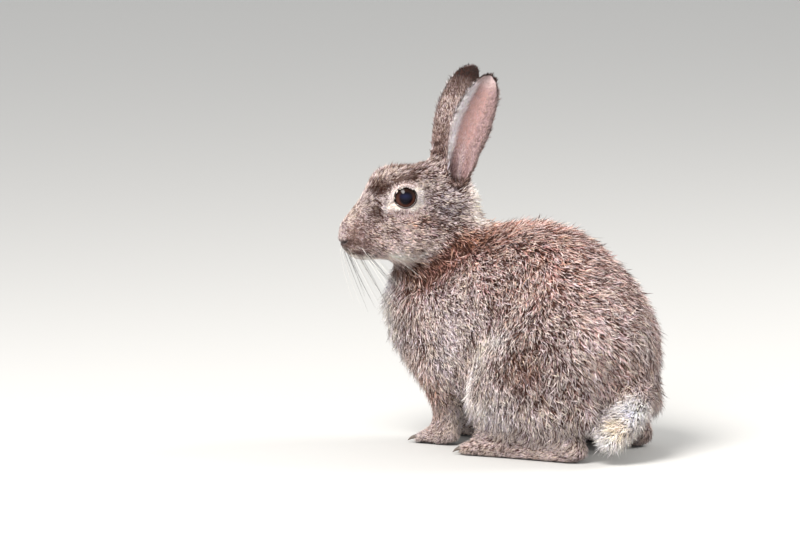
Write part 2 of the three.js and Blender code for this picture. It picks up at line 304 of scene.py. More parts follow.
def tube_faces(rings, around):
    """Triangles round a tube of rings and over its ends, whose middles are the last two points."""
    i = np.arange(around)
    j = (i + 1) % around
    faces = []
    for k in range(rings - 1):
        a, b = k * around, (k + 1) * around
        faces += [np.stack([a + i, b + j, a + j], 1), np.stack([a + i, b + i, b + j], 1)]
    last, first_end = (rings - 1) * around, np.full(around, rings * around)
    faces += [np.stack([i, j, first_end], 1), np.stack([last + j, last + i, first_end + 1], 1)]
    return np.concatenate(faces)


def swept(line, radii, sides):
    """A closed round tube along a line of points, as points and triangles."""
    line, radii = np.asarray(line, float), np.asarray(radii, float)
    along = unit(np.gradient(line, axis=0))
    first = np.cross(along[0], [0.3, 0.5, 0.81])  # across the line, whichever way it sets out
    across = tangent(np.tile(first, (len(line), 1)), along)
    other = np.cross(along, across)
    turn = round_turn(sides)[None, :, None]
    way = across[:, None] * np.cos(turn) + other[:, None] * np.sin(turn)
    rings = line[:, None] + way * radii[:, None, None]
    points = np.concatenate([rings.reshape(-1, 3), line[[0, -1]]])
    return points, tube_faces(len(line), sides)[:, ::-1]


# ---- the skin

FLESH = ["trunk", "neck", "head", "tail"] + [
    f"{word}_{part}"
    for _, word in SIDES
    for part in ("haunch", "hind_foot", "foreleg", "forepaw", "ear")
]
FATTEN = 0.7  # closes the cuts between the solids
VOXEL = 2.15
WELD = 0.002  # points nearer than this are one
CUT_PASSES = 30  # how much the surface is smoothed over the cuts between the solids
MOUTH = np.array([0.0, -80.0, -13.5])
NOSE = MOUTH + np.array([0, 2, 4])


def solid_arrays(nodes):
    """The points and triangles of some CAD nodes together, with the number of each face's node."""
    parts = []
    for name in nodes:
        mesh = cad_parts[name].data
        tri, points = triangles_of(mesh), points_of(mesh)
        key = np.round(points / WELD).astype(np.int64)
        _, first, back = np.unique(key, axis=0, return_index=True, return_inverse=True)
        parts.append((points[first], back.reshape(-1)[tri]))
    owner = np.repeat(np.arange(len(nodes)), [len(faces) for _, faces in parts])
    return *joined(parts), owner


def base_skin():
    """The flesh nodes as one closed surface, finest at the toes, the eyes and the mouth."""
    solid = [name for name in FLESH if "ear" not in name] + ["left_eye", "right_eye"]
    points, faces, _ = solid_arrays(solid)
    blank = make_mesh("skin_blank", points, faces)
    points = points + normals_of(blank.data) * FATTEN
    bpy.data.objects.remove(blank)
    points, faces = joined([(points, faces)] + [thick_ear(side) for side, _ in SIDES])
    blank = make_mesh("skin_blank", points, faces)
    remesh = blank.modifiers.new("remesh", "REMESH")
    remesh.mode = "VOXEL"
    remesh.voxel_size = VOXEL * MM
    evaluated = blank.evaluated_get(bpy.context.evaluated_depsgraph_get())
    mesh = bpy.data.meshes.new_from_object(evaluated)
    bpy.data.objects.remove(blank)
    put_points(mesh, trim_claws(points_of(mesh), owners_of(points_of(mesh))))
    heal_cuts(mesh)
    refine(mesh, toe_detail)
    refine(mesh, in_head_detail)
    smooth(mesh, 14)
    refine(mesh, face_detail)
    smooth(mesh, 2)
    refine(mesh, rim_detail)
    return mesh


def heal_cuts(mesh):
    """Smooths the surface where it crosses the cuts between the solids."""
    points, edges = points_of(mesh), edges_of(mesh)
    owners = owners_of(points)
    across = owners[edges[:, 0]] != owners[edges[:, 1]]
    cut = np.zeros((len(owners), 1))
    cut[edges[across].ravel()] = 1
    share = np.clip(spread(cut, edges, 6) * 4, 0, 1)
    put_points(mesh, spread(points, edges, CUT_PASSES, share))


def in_head_detail(at):
    """True in the head, in front of the neck and the throat."""
    head = to_head(at)
    return step(-head[:, 1] + 1.36 * head[:, 2], -12, -2) * step(head[:, 2], -30, -22) > 0


def face_detail(at):
    head = to_head(at)
    eye = np.linalg.norm(mirrored(head) - EYE_IN_HEAD, axis=1)
    return (eye < 14) | (np.linalg.norm(head - MOUTH, axis=1) < 17)


def toe_detail(at):
    """True at the fronts of the feet."""
    x, y, z = np.abs(at[:, 0]), at[:, 1], at[:, 2]
    paw = (y < FEET["forepaw"]["root"] + 6) & (z < 11) & (x < 32)
    foot = (y < FEET["hind_foot"]["root"] + 4) & (z < 13) & (x > 30)
    return (paw | foot) & (z > 0.5)


def rim_detail(at):
    """True at the rims of the lids and round the nostrils."""
    head = to_head(at)
    out = np.linalg.norm(head - NOSE, axis=1) < 9
    for side, _ in SIDES:
        _, beyond, reach = around_eye(head, side)
        out |= (np.abs(beyond) < 2.2) & (reach < 13)
    return out


def refine(mesh, wanted):
    """Halves the edges of the faces whose middles are wanted."""
    bm = bmesh.new()
    bm.from_mesh(mesh)
    chosen = wanted(np.array([f.calc_center_median() for f in bm.faces]) / MM)
    edges = {e for f, yes in zip(bm.faces, chosen) if yes for e in f.edges}
    bmesh.ops.subdivide_edges(bm, edges=list(edges), cuts=1, use_grid_fill=True)
    bmesh.ops.triangulate(bm, faces=[f for f in bm.faces if len(f.verts) > 4])
    bm.to_mesh(mesh)
    bm.free()
    mesh.update()


def owners_of(points):
    """The number in FLESH of the solid that each point is nearest to."""
    solid_points, faces, owner = solid_arrays(FLESH)
    tree = BVHTree.FromPolygons(solid_points.tolist(), faces.tolist())
    return np.array([owner[tree.find_nearest(p)[2]] for p in points.tolist()])


def part_weights(points, edges):
    """How much each vertex belongs to each part of the coat, run softly together."""
    of_node = [KINDS.index(name.replace("left_", "").replace("right_", "")) for name in FLESH]
    weights = np.eye(len(KINDS))[np.array(of_node)[owners_of(points)]]
    return spread(weights, edges, SMOOTH_COAT)


# ---- the feet

TOE_STEPS = (-1.5, -0.5, 0.5, 1.5)  # four toes, counted from the middle of the foot
FEET = {
    "hind_foot": dict(x=44, root=8, tip=-14, spread=5.2, radius=4.3, round=2.4),
    "forepaw": dict(x=19.5, root=-52, tip=-64, spread=4.1, radius=3.6, round=2.0),
}
TOE_HEIGHT = 3.6
HEEL_ROUND = 9.0
HEEL_LENGTH = 22
GROOVE_WIDTH, GROOVE_DEPTH = 0.95, 2.3  # between the toes


def toe_tips(foot, side):
    """The foremost point of each toe, without fur or claw."""
    x = [side * foot["x"] + k * foot["spread"] for k in TOE_STEPS]
    y = [foot["tip"] + abs(k) * foot["round"] - foot["radius"] for k in TOE_STEPS]
    return np.stack([x, y, [TOE_HEIGHT] * len(x)], 1) + SHIFT_XY


def trim_claws(points, owners):
    """Draws the skin back from the claws, which are pieces of their own."""
    for name, foot in FEET.items():
        for side, word in SIDES:
            mine = owners == FLESH.index(f"{word}_{name}")
            tips = toe_tips(foot, side)[::side]
            front = np.interp(points[mine, 0] * side, tips[:, 0] * side, tips[:, 1])
            points[mine, 1] -= np.minimum(points[mine, 1] - front, 0) * 0.95
    return points


def shape_heels(points, weights):
    """Rounds the back of each heel and draws the leg in over it."""
    _, high = corners("left_hind_foot")
    leg = (share_of(weights, "hind_foot") + share_of(weights, "haunch"))[:, 0]
    off = np.abs(np.abs(points[:, 0] - SHIFT[0]) - FEET["hind_foot"]["x"])
    back = step(points[:, 1], high[1] - HEEL_LENGTH, high[1] - 2)
    back = back * (step(off, 22, 14) * np.clip(leg, 0, 1))
    low = np.clip(1 - points[:, 2] / HEEL_ROUND, 0, 1)
    tuck = HEEL_ROUND * (1 - np.sqrt(1 - low**2 * 0.96)) * 0.8
    waist = 3.2 * bell(points[:, 2] - high[2] - 3, 6.5)
    points[:, 1] -= (tuck + waist) * back
    return points


def shape_toes(points, normal, weights):
    """Parts the toes with grooves."""
    cut = np.zeros(len(points))
    over_sole = step(points[:, 2], 0.6, 3)
    for name, foot in FEET.items():
        reach = step(points[:, 1], foot["root"] + 4, foot["tip"] + 4)
        for side, _ in SIDES:
            for k in (-1, 0, 1):
                gap = bell(points[:, 0] - side * foot["x"] - k * foot["spread"], GROOVE_WIDTH)
                cut += GROOVE_DEPTH * gap * reach * share_of(weights, name)[:, 0] * over_sole
    return points - normal * cut[:, None]


# ---- the ears

EAR_ROOT, EAR_WIDE, EAR_WIDEST = 5.6, 13.4, 0.58  # half widths, and where it is widest
EAR_CURL = 160, 60  # half curl in degrees: nearly a tube at the root, a shallow leaf above
EAR_KEELS = {  # in the head's frame, each a quadratic Bezier curve
    1: np.array([[7, -9, 17], [7, -4, 60], [16, 15, 99.5]], float),
    -1: np.array([[-7, -11, 17], [-8, -6, 62], [-14, 11, 102]], float),
}
EAR_STEPS = 240
EAR_TOP = 0.985  # where the last step is, short of the tip
EAR_FUR = 0.9  # what the fur adds to the ear's half width
EAR_WALL = 0.75  # half the thickness of the ear's leaf, without its fur
EAR_ROWS, EAR_AROUND = 70, 120  # points of the thick ear


def ear_arcs(side):
    """The arc that the ear's wall follows at each step from its root to its tip."""
    share = np.linspace(0, EAR_TOP, EAR_STEPS)[:, None]
    a, b, c = EAR_KEELS[side]
    keel = (1 - share) ** 2 * a + 2 * share * (1 - share) * b + share**2 * c
    up = unit((1 - share) * (b - a) + share * (c - b))
    below = mix(EAR_ROOT, EAR_WIDE, step(share, 0, EAR_WIDEST))
    above = EAR_WIDE * np.sqrt(1 - np.clip((share - EAR_WIDEST) / (1 - EAR_WIDEST), 0, 1) ** 2)
    width = np.where(share < EAR_WIDEST, below, above) - EAR_FUR * step(share, 0.2, 0.4)
    opens = tangent(np.array([side, -0.12, 0.0]), up)
    curl = np.radians(mix(*EAR_CURL, step(share, 0.05, 0.5)))
    radius = np.maximum(width, 0.5) / np.sin(np.minimum(curl, math.pi / 2))
    return dict(
        share=share[:, 0], keel=keel, up=up, opens=opens, across=np.cross(up, opens),
        curl=curl[:, 0], radius=radius[:, 0], centre=keel + opens * radius,
    )


def on_arc(arc, angle, reach):
    """Points at an angle round an arc and at a distance from its middle."""
    over = arc["across"] * (reach * np.sin(angle))[:, None]
    return arc["centre"] - arc["opens"] * (reach * np.cos(angle))[:, None] + over


def on_ear(head, side):
    """For points in the head's frame: where each is up and across the ear's wall (0 to 1 and
    -1 to 1), the nearest place on the wall's middle, and the arc there."""
    arcs = ear_arcs(side)
    height = head @ arcs["up"].T - (arcs["keel"] * arcs["up"]).sum(1)
    height += 0.08 * np.abs(head[:, 2:] - arcs["keel"][:, 2])
    row = np.abs(height).argmin(axis=1)
    take = {key: value[row] for key, value in arcs.items()}
    offset = head - take["centre"]
    angle = np.arctan2((offset * take["across"]).sum(1), -(offset * take["opens"]).sum(1))
    rim = np.clip(angle, -take["curl"], take["curl"])
    return take["share"], rim / take["curl"], on_arc(take, rim, take["radius"]), take


def each_ear(head, weight, least):
    """For each ear: its side, which points are its own, and what on_ear says of them."""
    for side, _ in SIDES:
        mine = (weight > least) & (head[:, 0] * side > -3)
        yield side, mine, *on_ear(head[mine], side)


def thick_ear(side, wall=1.8, brim=2.6):
    """An ear a little larger and thicker than it is, as triangles, to be drawn in later."""
    arcs = ear_arcs(side)
    turn = round_turn(EAR_AROUND)
    sweep, face = np.cos(turn), np.sin(turn)
    off = wall * np.sign(face) * (1 - np.abs(sweep) ** 10) ** 0.5
    points = []
    for row in np.round(np.linspace(0, 1, EAR_ROWS) * (EAR_STEPS - 1)).astype(int):
        arc = {key: value[row] for key, value in arcs.items()}
        angle = sweep * (arc["curl"] + min(brim / arc["radius"], math.pi - arc["curl"]) * 0.9)
        points.append(on_arc(arc, angle, arc["radius"] + off))
    ends = [points[0].mean(0), points[-1].mean(0) + arcs["up"][-1] * brim]
    points = np.concatenate(points + [np.array(ends)])
    return from_head(points), tube_faces(EAR_ROWS, EAR_AROUND)[:, ::side]


def shape_ears(head, weight):
    """Draws each ear in to a thin even leaf above its root."""
    for _, mine, share, sweep, place, _ in each_ear(head, weight, 0.3):
        wall = EAR_WALL * (1 - 0.35 * sweep**4) * (1 - 0.3 * step(share, 0.7, 1))
        leaf = place + unit(head[mine] - place) * wall[:, None]
        free = step(share, 0.16, 0.34) * step(weight[mine], 0.3, 0.8)
        head[mine] = mix(head[mine], leaf, free[:, None])
    return head


# ---- the head's features

GAZE = np.array([0.975, -0.13, -0.1])  # the left eye's, in the head's frame
LID = 0.75  # a lid's thickness over the ball
LID_OPENING = 0.915  # half the angle between the lids, in radians
TEAR_CORNER, REAR_CORNER = 3.62, 0.35  # where they are round the opening, in radians
EYE_BED = 1.6  # how far the skin lies in behind the ball's surface

NOSTRIL = [(2.2, -82.5, -9.8), (3.8, -80.6, -8.9), (5.4, -77.8, -6.6)]
CLEFT = [(0, -84, -8.0), (0, -83, -11.5), (0, -80, -15.0)]
LIPS = [(0, -80.5, -15.5), (3.5, -78.5, -16.6), (6.5, -73, -18), (8.5, -66, -18), (9.5, -60, -16.5)]
ACROSS_NOSTRIL = np.array([0.3, 1.0, 1.0])  # how much each axis counts in the gap to a line,
ACROSS_CLEFT = np.array([1.0, 0.25, 0.5])  # so that a line needn't lie just on the skin
ACROSS_LIPS = np.array([0.3, 0.5, 1.0])
GROOVES = (  # line, the axes' shares, width, depth, and how much of the depth goes by its end
    (NOSTRIL, ACROSS_NOSTRIL, 0.85, 2.4, 0),
    (CLEFT, ACROSS_CLEFT, 0.6, 1.0, 0),
    (LIPS, ACROSS_LIPS, 0.9, 1.4, 0.6),
)
BROW_SWELLS = (  # how far the skin stands out, the place and the radii
    (0.9, (14.5, -44, 33), (4.5, 9, 3.2)),  # the ridge over the eye
    (-0.9, (10.5, -56, 15), (4, 6.5, 5)),  # the hollow before it
    (0.8, (18, -36, 8), (5, 12, 4.5)),  # the cheekbone
    (-0.6, (16, -26, 22), (4.5, 6, 7)),  # the temple
)
NOSE_SWELLS = (
    (0.7, (6.5, -72, -9.5), (5, 6.5, 4.5)),  # the pad that the whiskers grow from
    (0.5, (3.4, -81.5, -6.4), (2.2, 2.4, 1.7)),  # the nostril's wing
    (0.4, (0, -72, -19), (6, 7, 3.5)),  # the chin
)


def eye_frame(side):
    """Rows: towards the back of the head, up, and out along the gaze."""
    out = unit(sided(GAZE, side))
    back = tangent(np.array([0.0, 1.0, 0.0]), out)
    up = np.cross(out, back) * side
    return np.stack([back, up, out])


def lid_angle(turn):
    """The half angle of the opening of the lids, all the way round."""
    wide = LID_OPENING + 0.02 * np.cos(2 * turn)
    for corner, more, width in ((TEAR_CORNER, 0.24, 0.20), (REAR_CORNER, 0.05, 0.5)):
        wide = wide + more * bell(np.angle(np.exp(1j * (turn - corner))), width)
    return wide


def around_eye(head, side):
    """For points in the head's frame: their way from the eye, mm outside the lids, distance."""
    offset = head - sided(EYE_IN_HEAD, side)
    reach = np.linalg.norm(offset, axis=1)
    local = (offset / np.maximum(reach, 1e-6)[:, None]) @ eye_frame(side).T
    turn = np.arctan2(local[:, 1], local[:, 0])
    angle = np.arccos(np.clip(local[:, 2], -1, 1))
    return turn, (angle - lid_angle(turn)) * EYE_RADIUS, reach


def shape_lids(head):
    """Draws the skin over each eyeball and opens it at the rim of the lids."""
    for side, _ in SIDES:
        centre = sided(EYE_IN_HEAD, side)
        turn, beyond, reach = around_eye(head, side)
        fold = 0.35 * bell(beyond - 2.6, 0.8) * step(np.sin(turn), -0.2, 0.6)
        lid = EYE_RADIUS + LID * (1 - 0.35 * step(beyond, 1.5, 6)) - fold
        over = np.maximum(reach, lid)
        wanted = mix(over, np.minimum(over, EYE_RADIUS - EYE_BED), step(-beyond, -0.25, 0.75))
        take = (reach < 15) & (beyond < 11)
        radius = np.where(take, mix(reach, wanted, step(beyond, 11, 7)), reach)
        head = np.where(take[:, None], centre + unit(head - centre) * radius[:, None], head)
    return head


def gap_to(head, line, across):
    """Distance from a line on either side of the head, with some axes counting for less, and
    how far along the line the nearest place is (0 to 1)."""
    points, line = mirrored(head) * across, np.array(line) * across
    best = np.full(len(points), 1e9)
    along = np.zeros(len(points))
    for i, (a, b) in enumerate(zip(line[:-1], line[1:])):
        t = np.clip((points - a) @ (b - a) / ((b - a) @ (b - a)), 0, 1)
        gap = np.linalg.norm(points - (a + t[:, None] * (b - a)), axis=1)
        along = np.where(gap < best, (i + t) / (len(line) - 1), along)
        best = np.minimum(best, gap)
    return best, along


def shape_face(head, normal):
    """The brow, the cheek and the nose, with its nostrils, the cleft under them and the lips."""
    for swells in (BROW_SWELLS, NOSE_SWELLS):
        both = mirrored(head)
        head = head + normal * sum(rise * near(both, at, radii) for rise, at, radii in swells)
    for line, across, width, depth, fade in GROOVES:
        gap, along = gap_to(head, line, across)
        head = head - normal * (depth * bell(gap, width) * (1 - fade * along))[:, None]
    return head


# ---- the skin under the coat

FACE_DEPTH, SOLE_DEPTH = 0.9, 0.25  # of the coat on the muzzle and round the eyes, and underfoot
SINK_STEPS = 5


def coat_depth(points, weights, normal):
    """How far the skin lies under the tips of the coat."""
    head, in_head = to_head(points), share_of(weights, "head")
    depth = (weights @ DEPTHS)[:, None]
    depth = mix(depth, FACE_DEPTH, step(-head[:, 1:2], 56, 78) * in_head)
    depth = depth + 1.2 * (near(mirrored(head), (16, -22, -6), (14, 16, 12)) * in_head)
    for side, _ in SIDES:
        gap = np.linalg.norm(head - sided(EYE_IN_HEAD, side), axis=1, keepdims=True)
        depth = mix(depth, FACE_DEPTH, in_head * step(gap, 15, 10))
    soles = step(-normal[:, 2:], 0.75, 0.95) * step(points[:, 2:], 6, 1)
    return mix(depth, SOLE_DEPTH, soles)


def make_skin():
    mesh = base_skin()
    points, edges = points_of(mesh), edges_of(mesh)
    weights = part_weights(points, edges)
    depth = spread(coat_depth(points, weights, normals_of(mesh)) + FATTEN, edges, 12)
    for _ in range(SINK_STEPS):
        points = points - normals_of(mesh) * depth / SINK_STEPS
        points = spread(points, edges, 1, 0.3)
        put_points(mesh, points)
    head = shape_ears(to_head(points), share_of(weights, "ear")[:, 0])
    shaped = shape_face(head, normals_of(mesh) @ HEAD_AXES.T)
    shaped = shape_lids(mix(head, shaped, share_of(weights, "head")))
    put_points(mesh, shape_heels(from_head(shaped), weights))
    put_points(mesh, shape_toes(points_of(mesh), normals_of(mesh), weights))
    return add_object("skin", mesh), weights


# ---- markings
# Colours are linear. A mark is a colour, its strength, a place and radii. A stroke is a colour,
# its strength, half its width and the line it follows. Both fall off softly, and both are the
# same on the two sides.


def rgb(*values):
    return np.array(values)


BROWN = rgb(0.58, 0.345, 0.315)
GREY_BROWN = rgb(0.53, 0.445, 0.475)
GREY = rgb(0.61, 0.57, 0.64)
RUFOUS = rgb(0.68, 0.28, 0.14)
CREAM = rgb(0.80, 0.735, 0.70)
WHITE = rgb(0.82, 0.79, 0.80)
DARK = rgb(0.14, 0.058, 0.042)
BLACK = rgb(0.022, 0.016, 0.015)
UNDERFUR = rgb(1.10, 0.53, 0.42)  # tints the lower, browner part of each lock
# the pale ruff behind the ears, made near white partly for its own colour and partly as painted light from
# behind
RUFF_WITH_PAINTED_LIGHT = rgb(1.0, 0.90, 0.85)
BUFF = rgb(1.0, 0.80, 0.63)
TAIL_WHITE = rgb(0.76, 0.75, 0.81)
EAR_LOW = rgb(0.27, 0.19, 0.17)
EAR_HIGH = rgb(0.40, 0.30, 0.275)
# painted shade low in the ear's hollow
EAR_HOLLOW_SHADE = rgb(0.27, 0.12, 0.11)
EAR_PINK = rgb(0.33, 0.185, 0.17)
EAR_PALE = rgb(1.0, 0.9, 0.94)
EAR_MARGIN = rgb(0.42, 0.30, 0.30)
EAR_NEAR_TIP = rgb(0.50, 0.42, 0.41)
EAR_EDGE = rgb(0.13, 0.095, 0.085)
EYE_RING = rgb(0.90, 0.80, 0.80)
FUR_TINT = rgb(1.055, 1.03, 0.975)

BODY_MARKS = (
    (rgb(0.20, 0.095, 0.07), 0.88, (20, -26, 128), (18, 28, 13)),  # dark saddle
    (rgb(0.19, 0.08, 0.052), 0.87, (34, -48, 114), (14, 18, 13)),  # dark shoulder
    (rgb(0.66, 0.39, 0.35), 0.6, (30, 20, 128), (26, 40, 22)),  # back
    (rgb(0.64, 0.40, 0.34), 0.6, (6, 14, 150), (30, 70, 9)),  # spine
    (rgb(0.72, 0.51, 0.53), 0.8, (31, 74, 113), (16, 13, 20)),  # mauve rump
    (rgb(0.82, 0.49, 0.46), 0.75, (34, 92, 70), (26, 20, 40)),  # rump
    (rgb(0.335, 0.185, 0.135), 0.78, (58, 34, 66), (20, 26, 24)),  # thigh
    (rgb(0.60, 0.535, 0.57), 0.8, (46, -16, 84), (26, 20, 26)),  # pale flank
    (GREY, 0.7, (44, -40, 66), (24, 24, 30)),  # side
    (WHITE, 0.95, (16, -95, 78), (27, 21, 40)),  # chest
    (rgb(0.72, 0.68, 0.72), 1.0, (6, -88, 116), (22, 20, 16)),  # throat
    (WHITE, 1.0, (0, -5, 22), (38, 62, 22)),  # belly
    (rgb(0.30, 0.235, 0.21), 0.75, (48, -14, 72), (14, 6, 12)),  # painted shadow in the crease before the fold
    (CREAM, 0.9, (52, 14, 80), (14, 13, 6)),  # the fold, from above down: the cream along its edge is partly pale fur and partly a painted highlight; the white at its foot is pale fur
    (CREAM, 0.9, (54, -2, 68), (14, 7, 10)),
    (WHITE, 1.0, (50, -10, 46), (14, 8, 17)),
    (rgb(0.74, 0.69, 0.74), 0.95, (60, 2, 32), (18, 26, 20)),  # knee
    (rgb(0.95, 0.88, 0.92), 0.9, (47, -14, 33), (14, 7, 12)),  # before the knee
    (RUFOUS, 1.0, (6, -34, 139), (20, 15, 12)),  # nape
    (RUFOUS, 0.6, (26, -52, 34), (16, 16, 26)),  # foreleg
    (RUFOUS, 0.3, (44, 20, 10), (16, 50, 10)),  # hind foot
    (GREY, 0.6, (56, 44, 22), (14, 20, 18)),  # heel
)
HEAD_MARKS = (  # in the head's frame
    (rgb(0.31, 0.21, 0.175), 0.9, (6, -70, -3), (10, 13, 10)),  # muzzle
    (rgb(0.47, 0.26, 0.195), 0.82, (18, -36, 4.5), (10, 15, 5.5)),  # below the eye
    (rgb(0.69, 0.56, 0.54), 0.84, (16, -38, -6), (12, 15, 8)),  # cheek
    (rgb(0.43, 0.385, 0.46), 0.95, (20, -18, 16), (9, 11, 10)),  # behind the eye
    (CREAM, 0.5, (18, -31, 29), (5, 5, 3)),  # temple
    (rgb(0.20, 0.145, 0.125), 0.9, (4, -46, 41), (9, 30, 9)),  # crown
    (rgb(0.33, 0.24, 0.20), 0.8, (8, -58, 28), (9, 11, 8)),  # forehead
    (rgb(0.30, 0.25, 0.21), 0.9, (2.5, -73, 11), (3.6, 9, 6)),  # bridge of the nose
    (rgb(0.13, 0.10, 0.095), 0.95, (9, -61, 12), (10, 5, 5.5)),  # before the eye
    (rgb(0.95, 0.9, 0.93), 0.9, (12, -34, -20), (12, 22, 5)),  # jaw
    (rgb(0.74, 0.69, 0.70), 0.95, (3, -79.5, -14.5), (8, 3.2, 4.5)),  # lips
    (WHITE, 1.0, (0, -66, -22), (9, 14, 7)),  # chin
    (rgb(0.60, 0.52, 0.57), 0.95, (1.5, -82, -3), (4.5, 5, 5.5)),  # nose
    (rgb(0.38, 0.28, 0.23), 0.7, (9, -16, 31), (5, 7, 9)),  # root of the ear
)
SIDE_VIEW = np.array([0.2, 1.0, 1.0])  # most strokes are found by their place in side view
HEAD_STROKES = (  # the last three say how the axes count for them
    (rgb(0.07, 0.045, 0.035), 0.95, 2.3, [(11, -62, 24), (12, -56, 27), (13, -47, 31.5), (13, -38, 34)]),
    (CREAM, 0.55, 1.1, [(9, -60, 31), (9.5, -54, 34.5), (10, -48, 37), (10, -38, 38.5)]),  # over it
    (rgb(0.66, 0.54, 0.47), 0.8, 1.3, [(3, -64, 18.7), (3, -71.5, 10.8), (3, -77, 4.2)]),  # bridge
    (rgb(0.15, 0.11, 0.11), 0.35, 1.4, [(19, -30, 9), (19, -20, 4), (17, -10, 0)]),  # cheek
    (rgb(0.12, 0.09, 0.09), 0.65, 1.8, [(18, -22, 14), (17.5, -15, 8.5), (17, -8, 3.5)]),  # temple
    (rgb(0.08, 0.05, 0.055), 0.9, 1.6, [(11.5, -7, 31), (12.5, -5.5, 23)]),  # painted shade in the notch of the ear
    (rgb(0.95, 0.9, 0.92), 1.0, 2.2, [(3, -79.5, -13.5), (5, -76, -17.5), (8, -66, -18.5)]),  # lip
    # painted shade: near black in the nostrils, and darker along the cleft and the lips, in their grooves
    (rgb(0.008, 0.004, 0.004), 1.0, 1.9, NOSTRIL, ACROSS_NOSTRIL),
    (rgb(0.16, 0.09, 0.09), 0.8, 0.6, CLEFT, ACROSS_CLEFT),
    (rgb(0.12, 0.08, 0.08), 0.7, 0.6, LIPS, ACROSS_LIPS),
)
JAW_STROKES = (  # across the jaw's edge, on the head and the neck alike
    (rgb(0.28, 0.14, 0.095), 0.7, 3.6, [(10, -43, -27), (12, -29, -20.5), (14, -16, -8.5), (13, -7, -1)]),
    (rgb(0.97, 0.90, 0.90), 1.0, 3.1, [(12, -52, -14.5), (12, -42, -16.5), (12, -33, -14.5), (13, -26, -10)]),
)
WHISKER_ROWS, WHISKER_COLUMNS = 5, 4
WHISKER_SPOT = (6, 1.55, 0.85)  # radii of the dark spot at each whisker's root


def whisker_root(row, column):
    """Where a whisker leaves the left pad of the muzzle, in the head's frame."""
    return np.array([6.0 + 0.9 * column, -76.5 + 3.7 * column - 0.7 * row, -6.0 - 2.0 * row])


def stroked(colour, head, paint, strength, width, line, across=SIDE_VIEW):
    gap, _ = gap_to(head, line, across)
    return mix(colour, paint, strength * bell(gap, width)[:, None])


def face_colour(head, colour):
    """The head's colour, over the body's."""
    both = mirrored(head)
    for paint, strength, at, radii in HEAD_MARKS:
        colour = mix(colour, paint, near(both, at, radii) * strength)
    for stroke in HEAD_STROKES:
        colour = stroked(colour, head, *stroke)
    for row, column in np.ndindex(WHISKER_ROWS, WHISKER_COLUMNS):
        spot = near(both, whisker_root(row, column), WHISKER_SPOT)
        colour = mix(colour, DARK * 0.3, spot)
    streaks = noise(head * np.array([1, 0.4, 1.3]), 2.6, 43)
    return colour * (1 + 0.3 * streaks)[:, None]


def eye_ring(head, side):
    """1 in the pale ring round the lids, which is widest at their corners and above."""
    turn, beyond, reach = around_eye(head, side)
    wide = 3.4 * np.clip(np.cos(turn - 3.4), 0, 1) ** 4
    wide = wide + 4.4 * np.clip(np.cos(turn + 0.1), 0, 1) ** 2
    wide = wide + 0.7 * step(np.sin(turn), 0.0, 0.8)
    return (step(beyond, wide + 0.5, wide - 0.5) * (reach < 18))[:, None]


def tail_colour(at):
    """White with a buff spot below, dark on top."""
    on_top = step(at[:, 1:2] - 0.5 * at[:, :1] + 0.9 * at[:, 2:], 127, 136)
    buff = near(at, (33, 94, 24), (7, 10, 7))
    return mix(mix(TAIL_WHITE, BUFF * 0.9, buff), DARK * 1.3, on_top)


def markings(points, weights):
    """The coat's colour at each point, before light and dark hairs are told apart."""
    head, in_ear = to_head(points), share_of(weights, "ear")
    in_head = share_of(weights, "head") + in_ear
    colour = mix(GREY_BROWN, BROWN, step(points[:, 2:], 60, 125))
    streaks = 0.35 * noise(points, 5, 41)[:, None]
    both = mirrored(points - SHIFT_X)
    for paint, strength, at, radii in BODY_MARKS:
        share = np.clip(near(both, at, radii) * (1 + streaks), 0, 1)
        colour = mix(colour, paint, share * strength * (1 - in_head))
    face = mix(colour, GREY_BROWN * 0.98, 0.8)
    colour = mix(colour, face_colour(head, face), in_head)
    # the ruff, pushed towards white: partly its own pale fur, partly painted light
    ruff = near(mirrored(head), (12, 4, 15), (8, 8.5, 15)) * (1 - in_ear)
    colour = mix(colour, RUFF_WITH_PAINTED_LIGHT, np.clip(ruff * 2.0, 0, 1))
    for stroke in JAW_STROKES:
        colour = stroked(colour, head, *stroke)
    for side, _ in SIDES:
        colour = mix(colour, EYE_RING, eye_ring(head, side) * in_head * 0.95)
    at = points - SHIFT_XY
    colour = mix(colour, tail_colour(at), share_of(weights, "tail") * step(at[:, 2:], 47, 40))
    lumps = noise(points, 17, 3) * 0.16 + noise(points, 7, 4) * 0.16
    warm = noise(points, 20, 5)[:, None] * np.array([0.07, -0.02, -0.08])
    warm = warm + noise(points, 6, 6)[:, None] * np.array([0.02, 0.02, -0.10])
    return np.clip(colour * (1 + lumps[:, None]) * (1 + warm) * FUR_TINT, 0, 1)


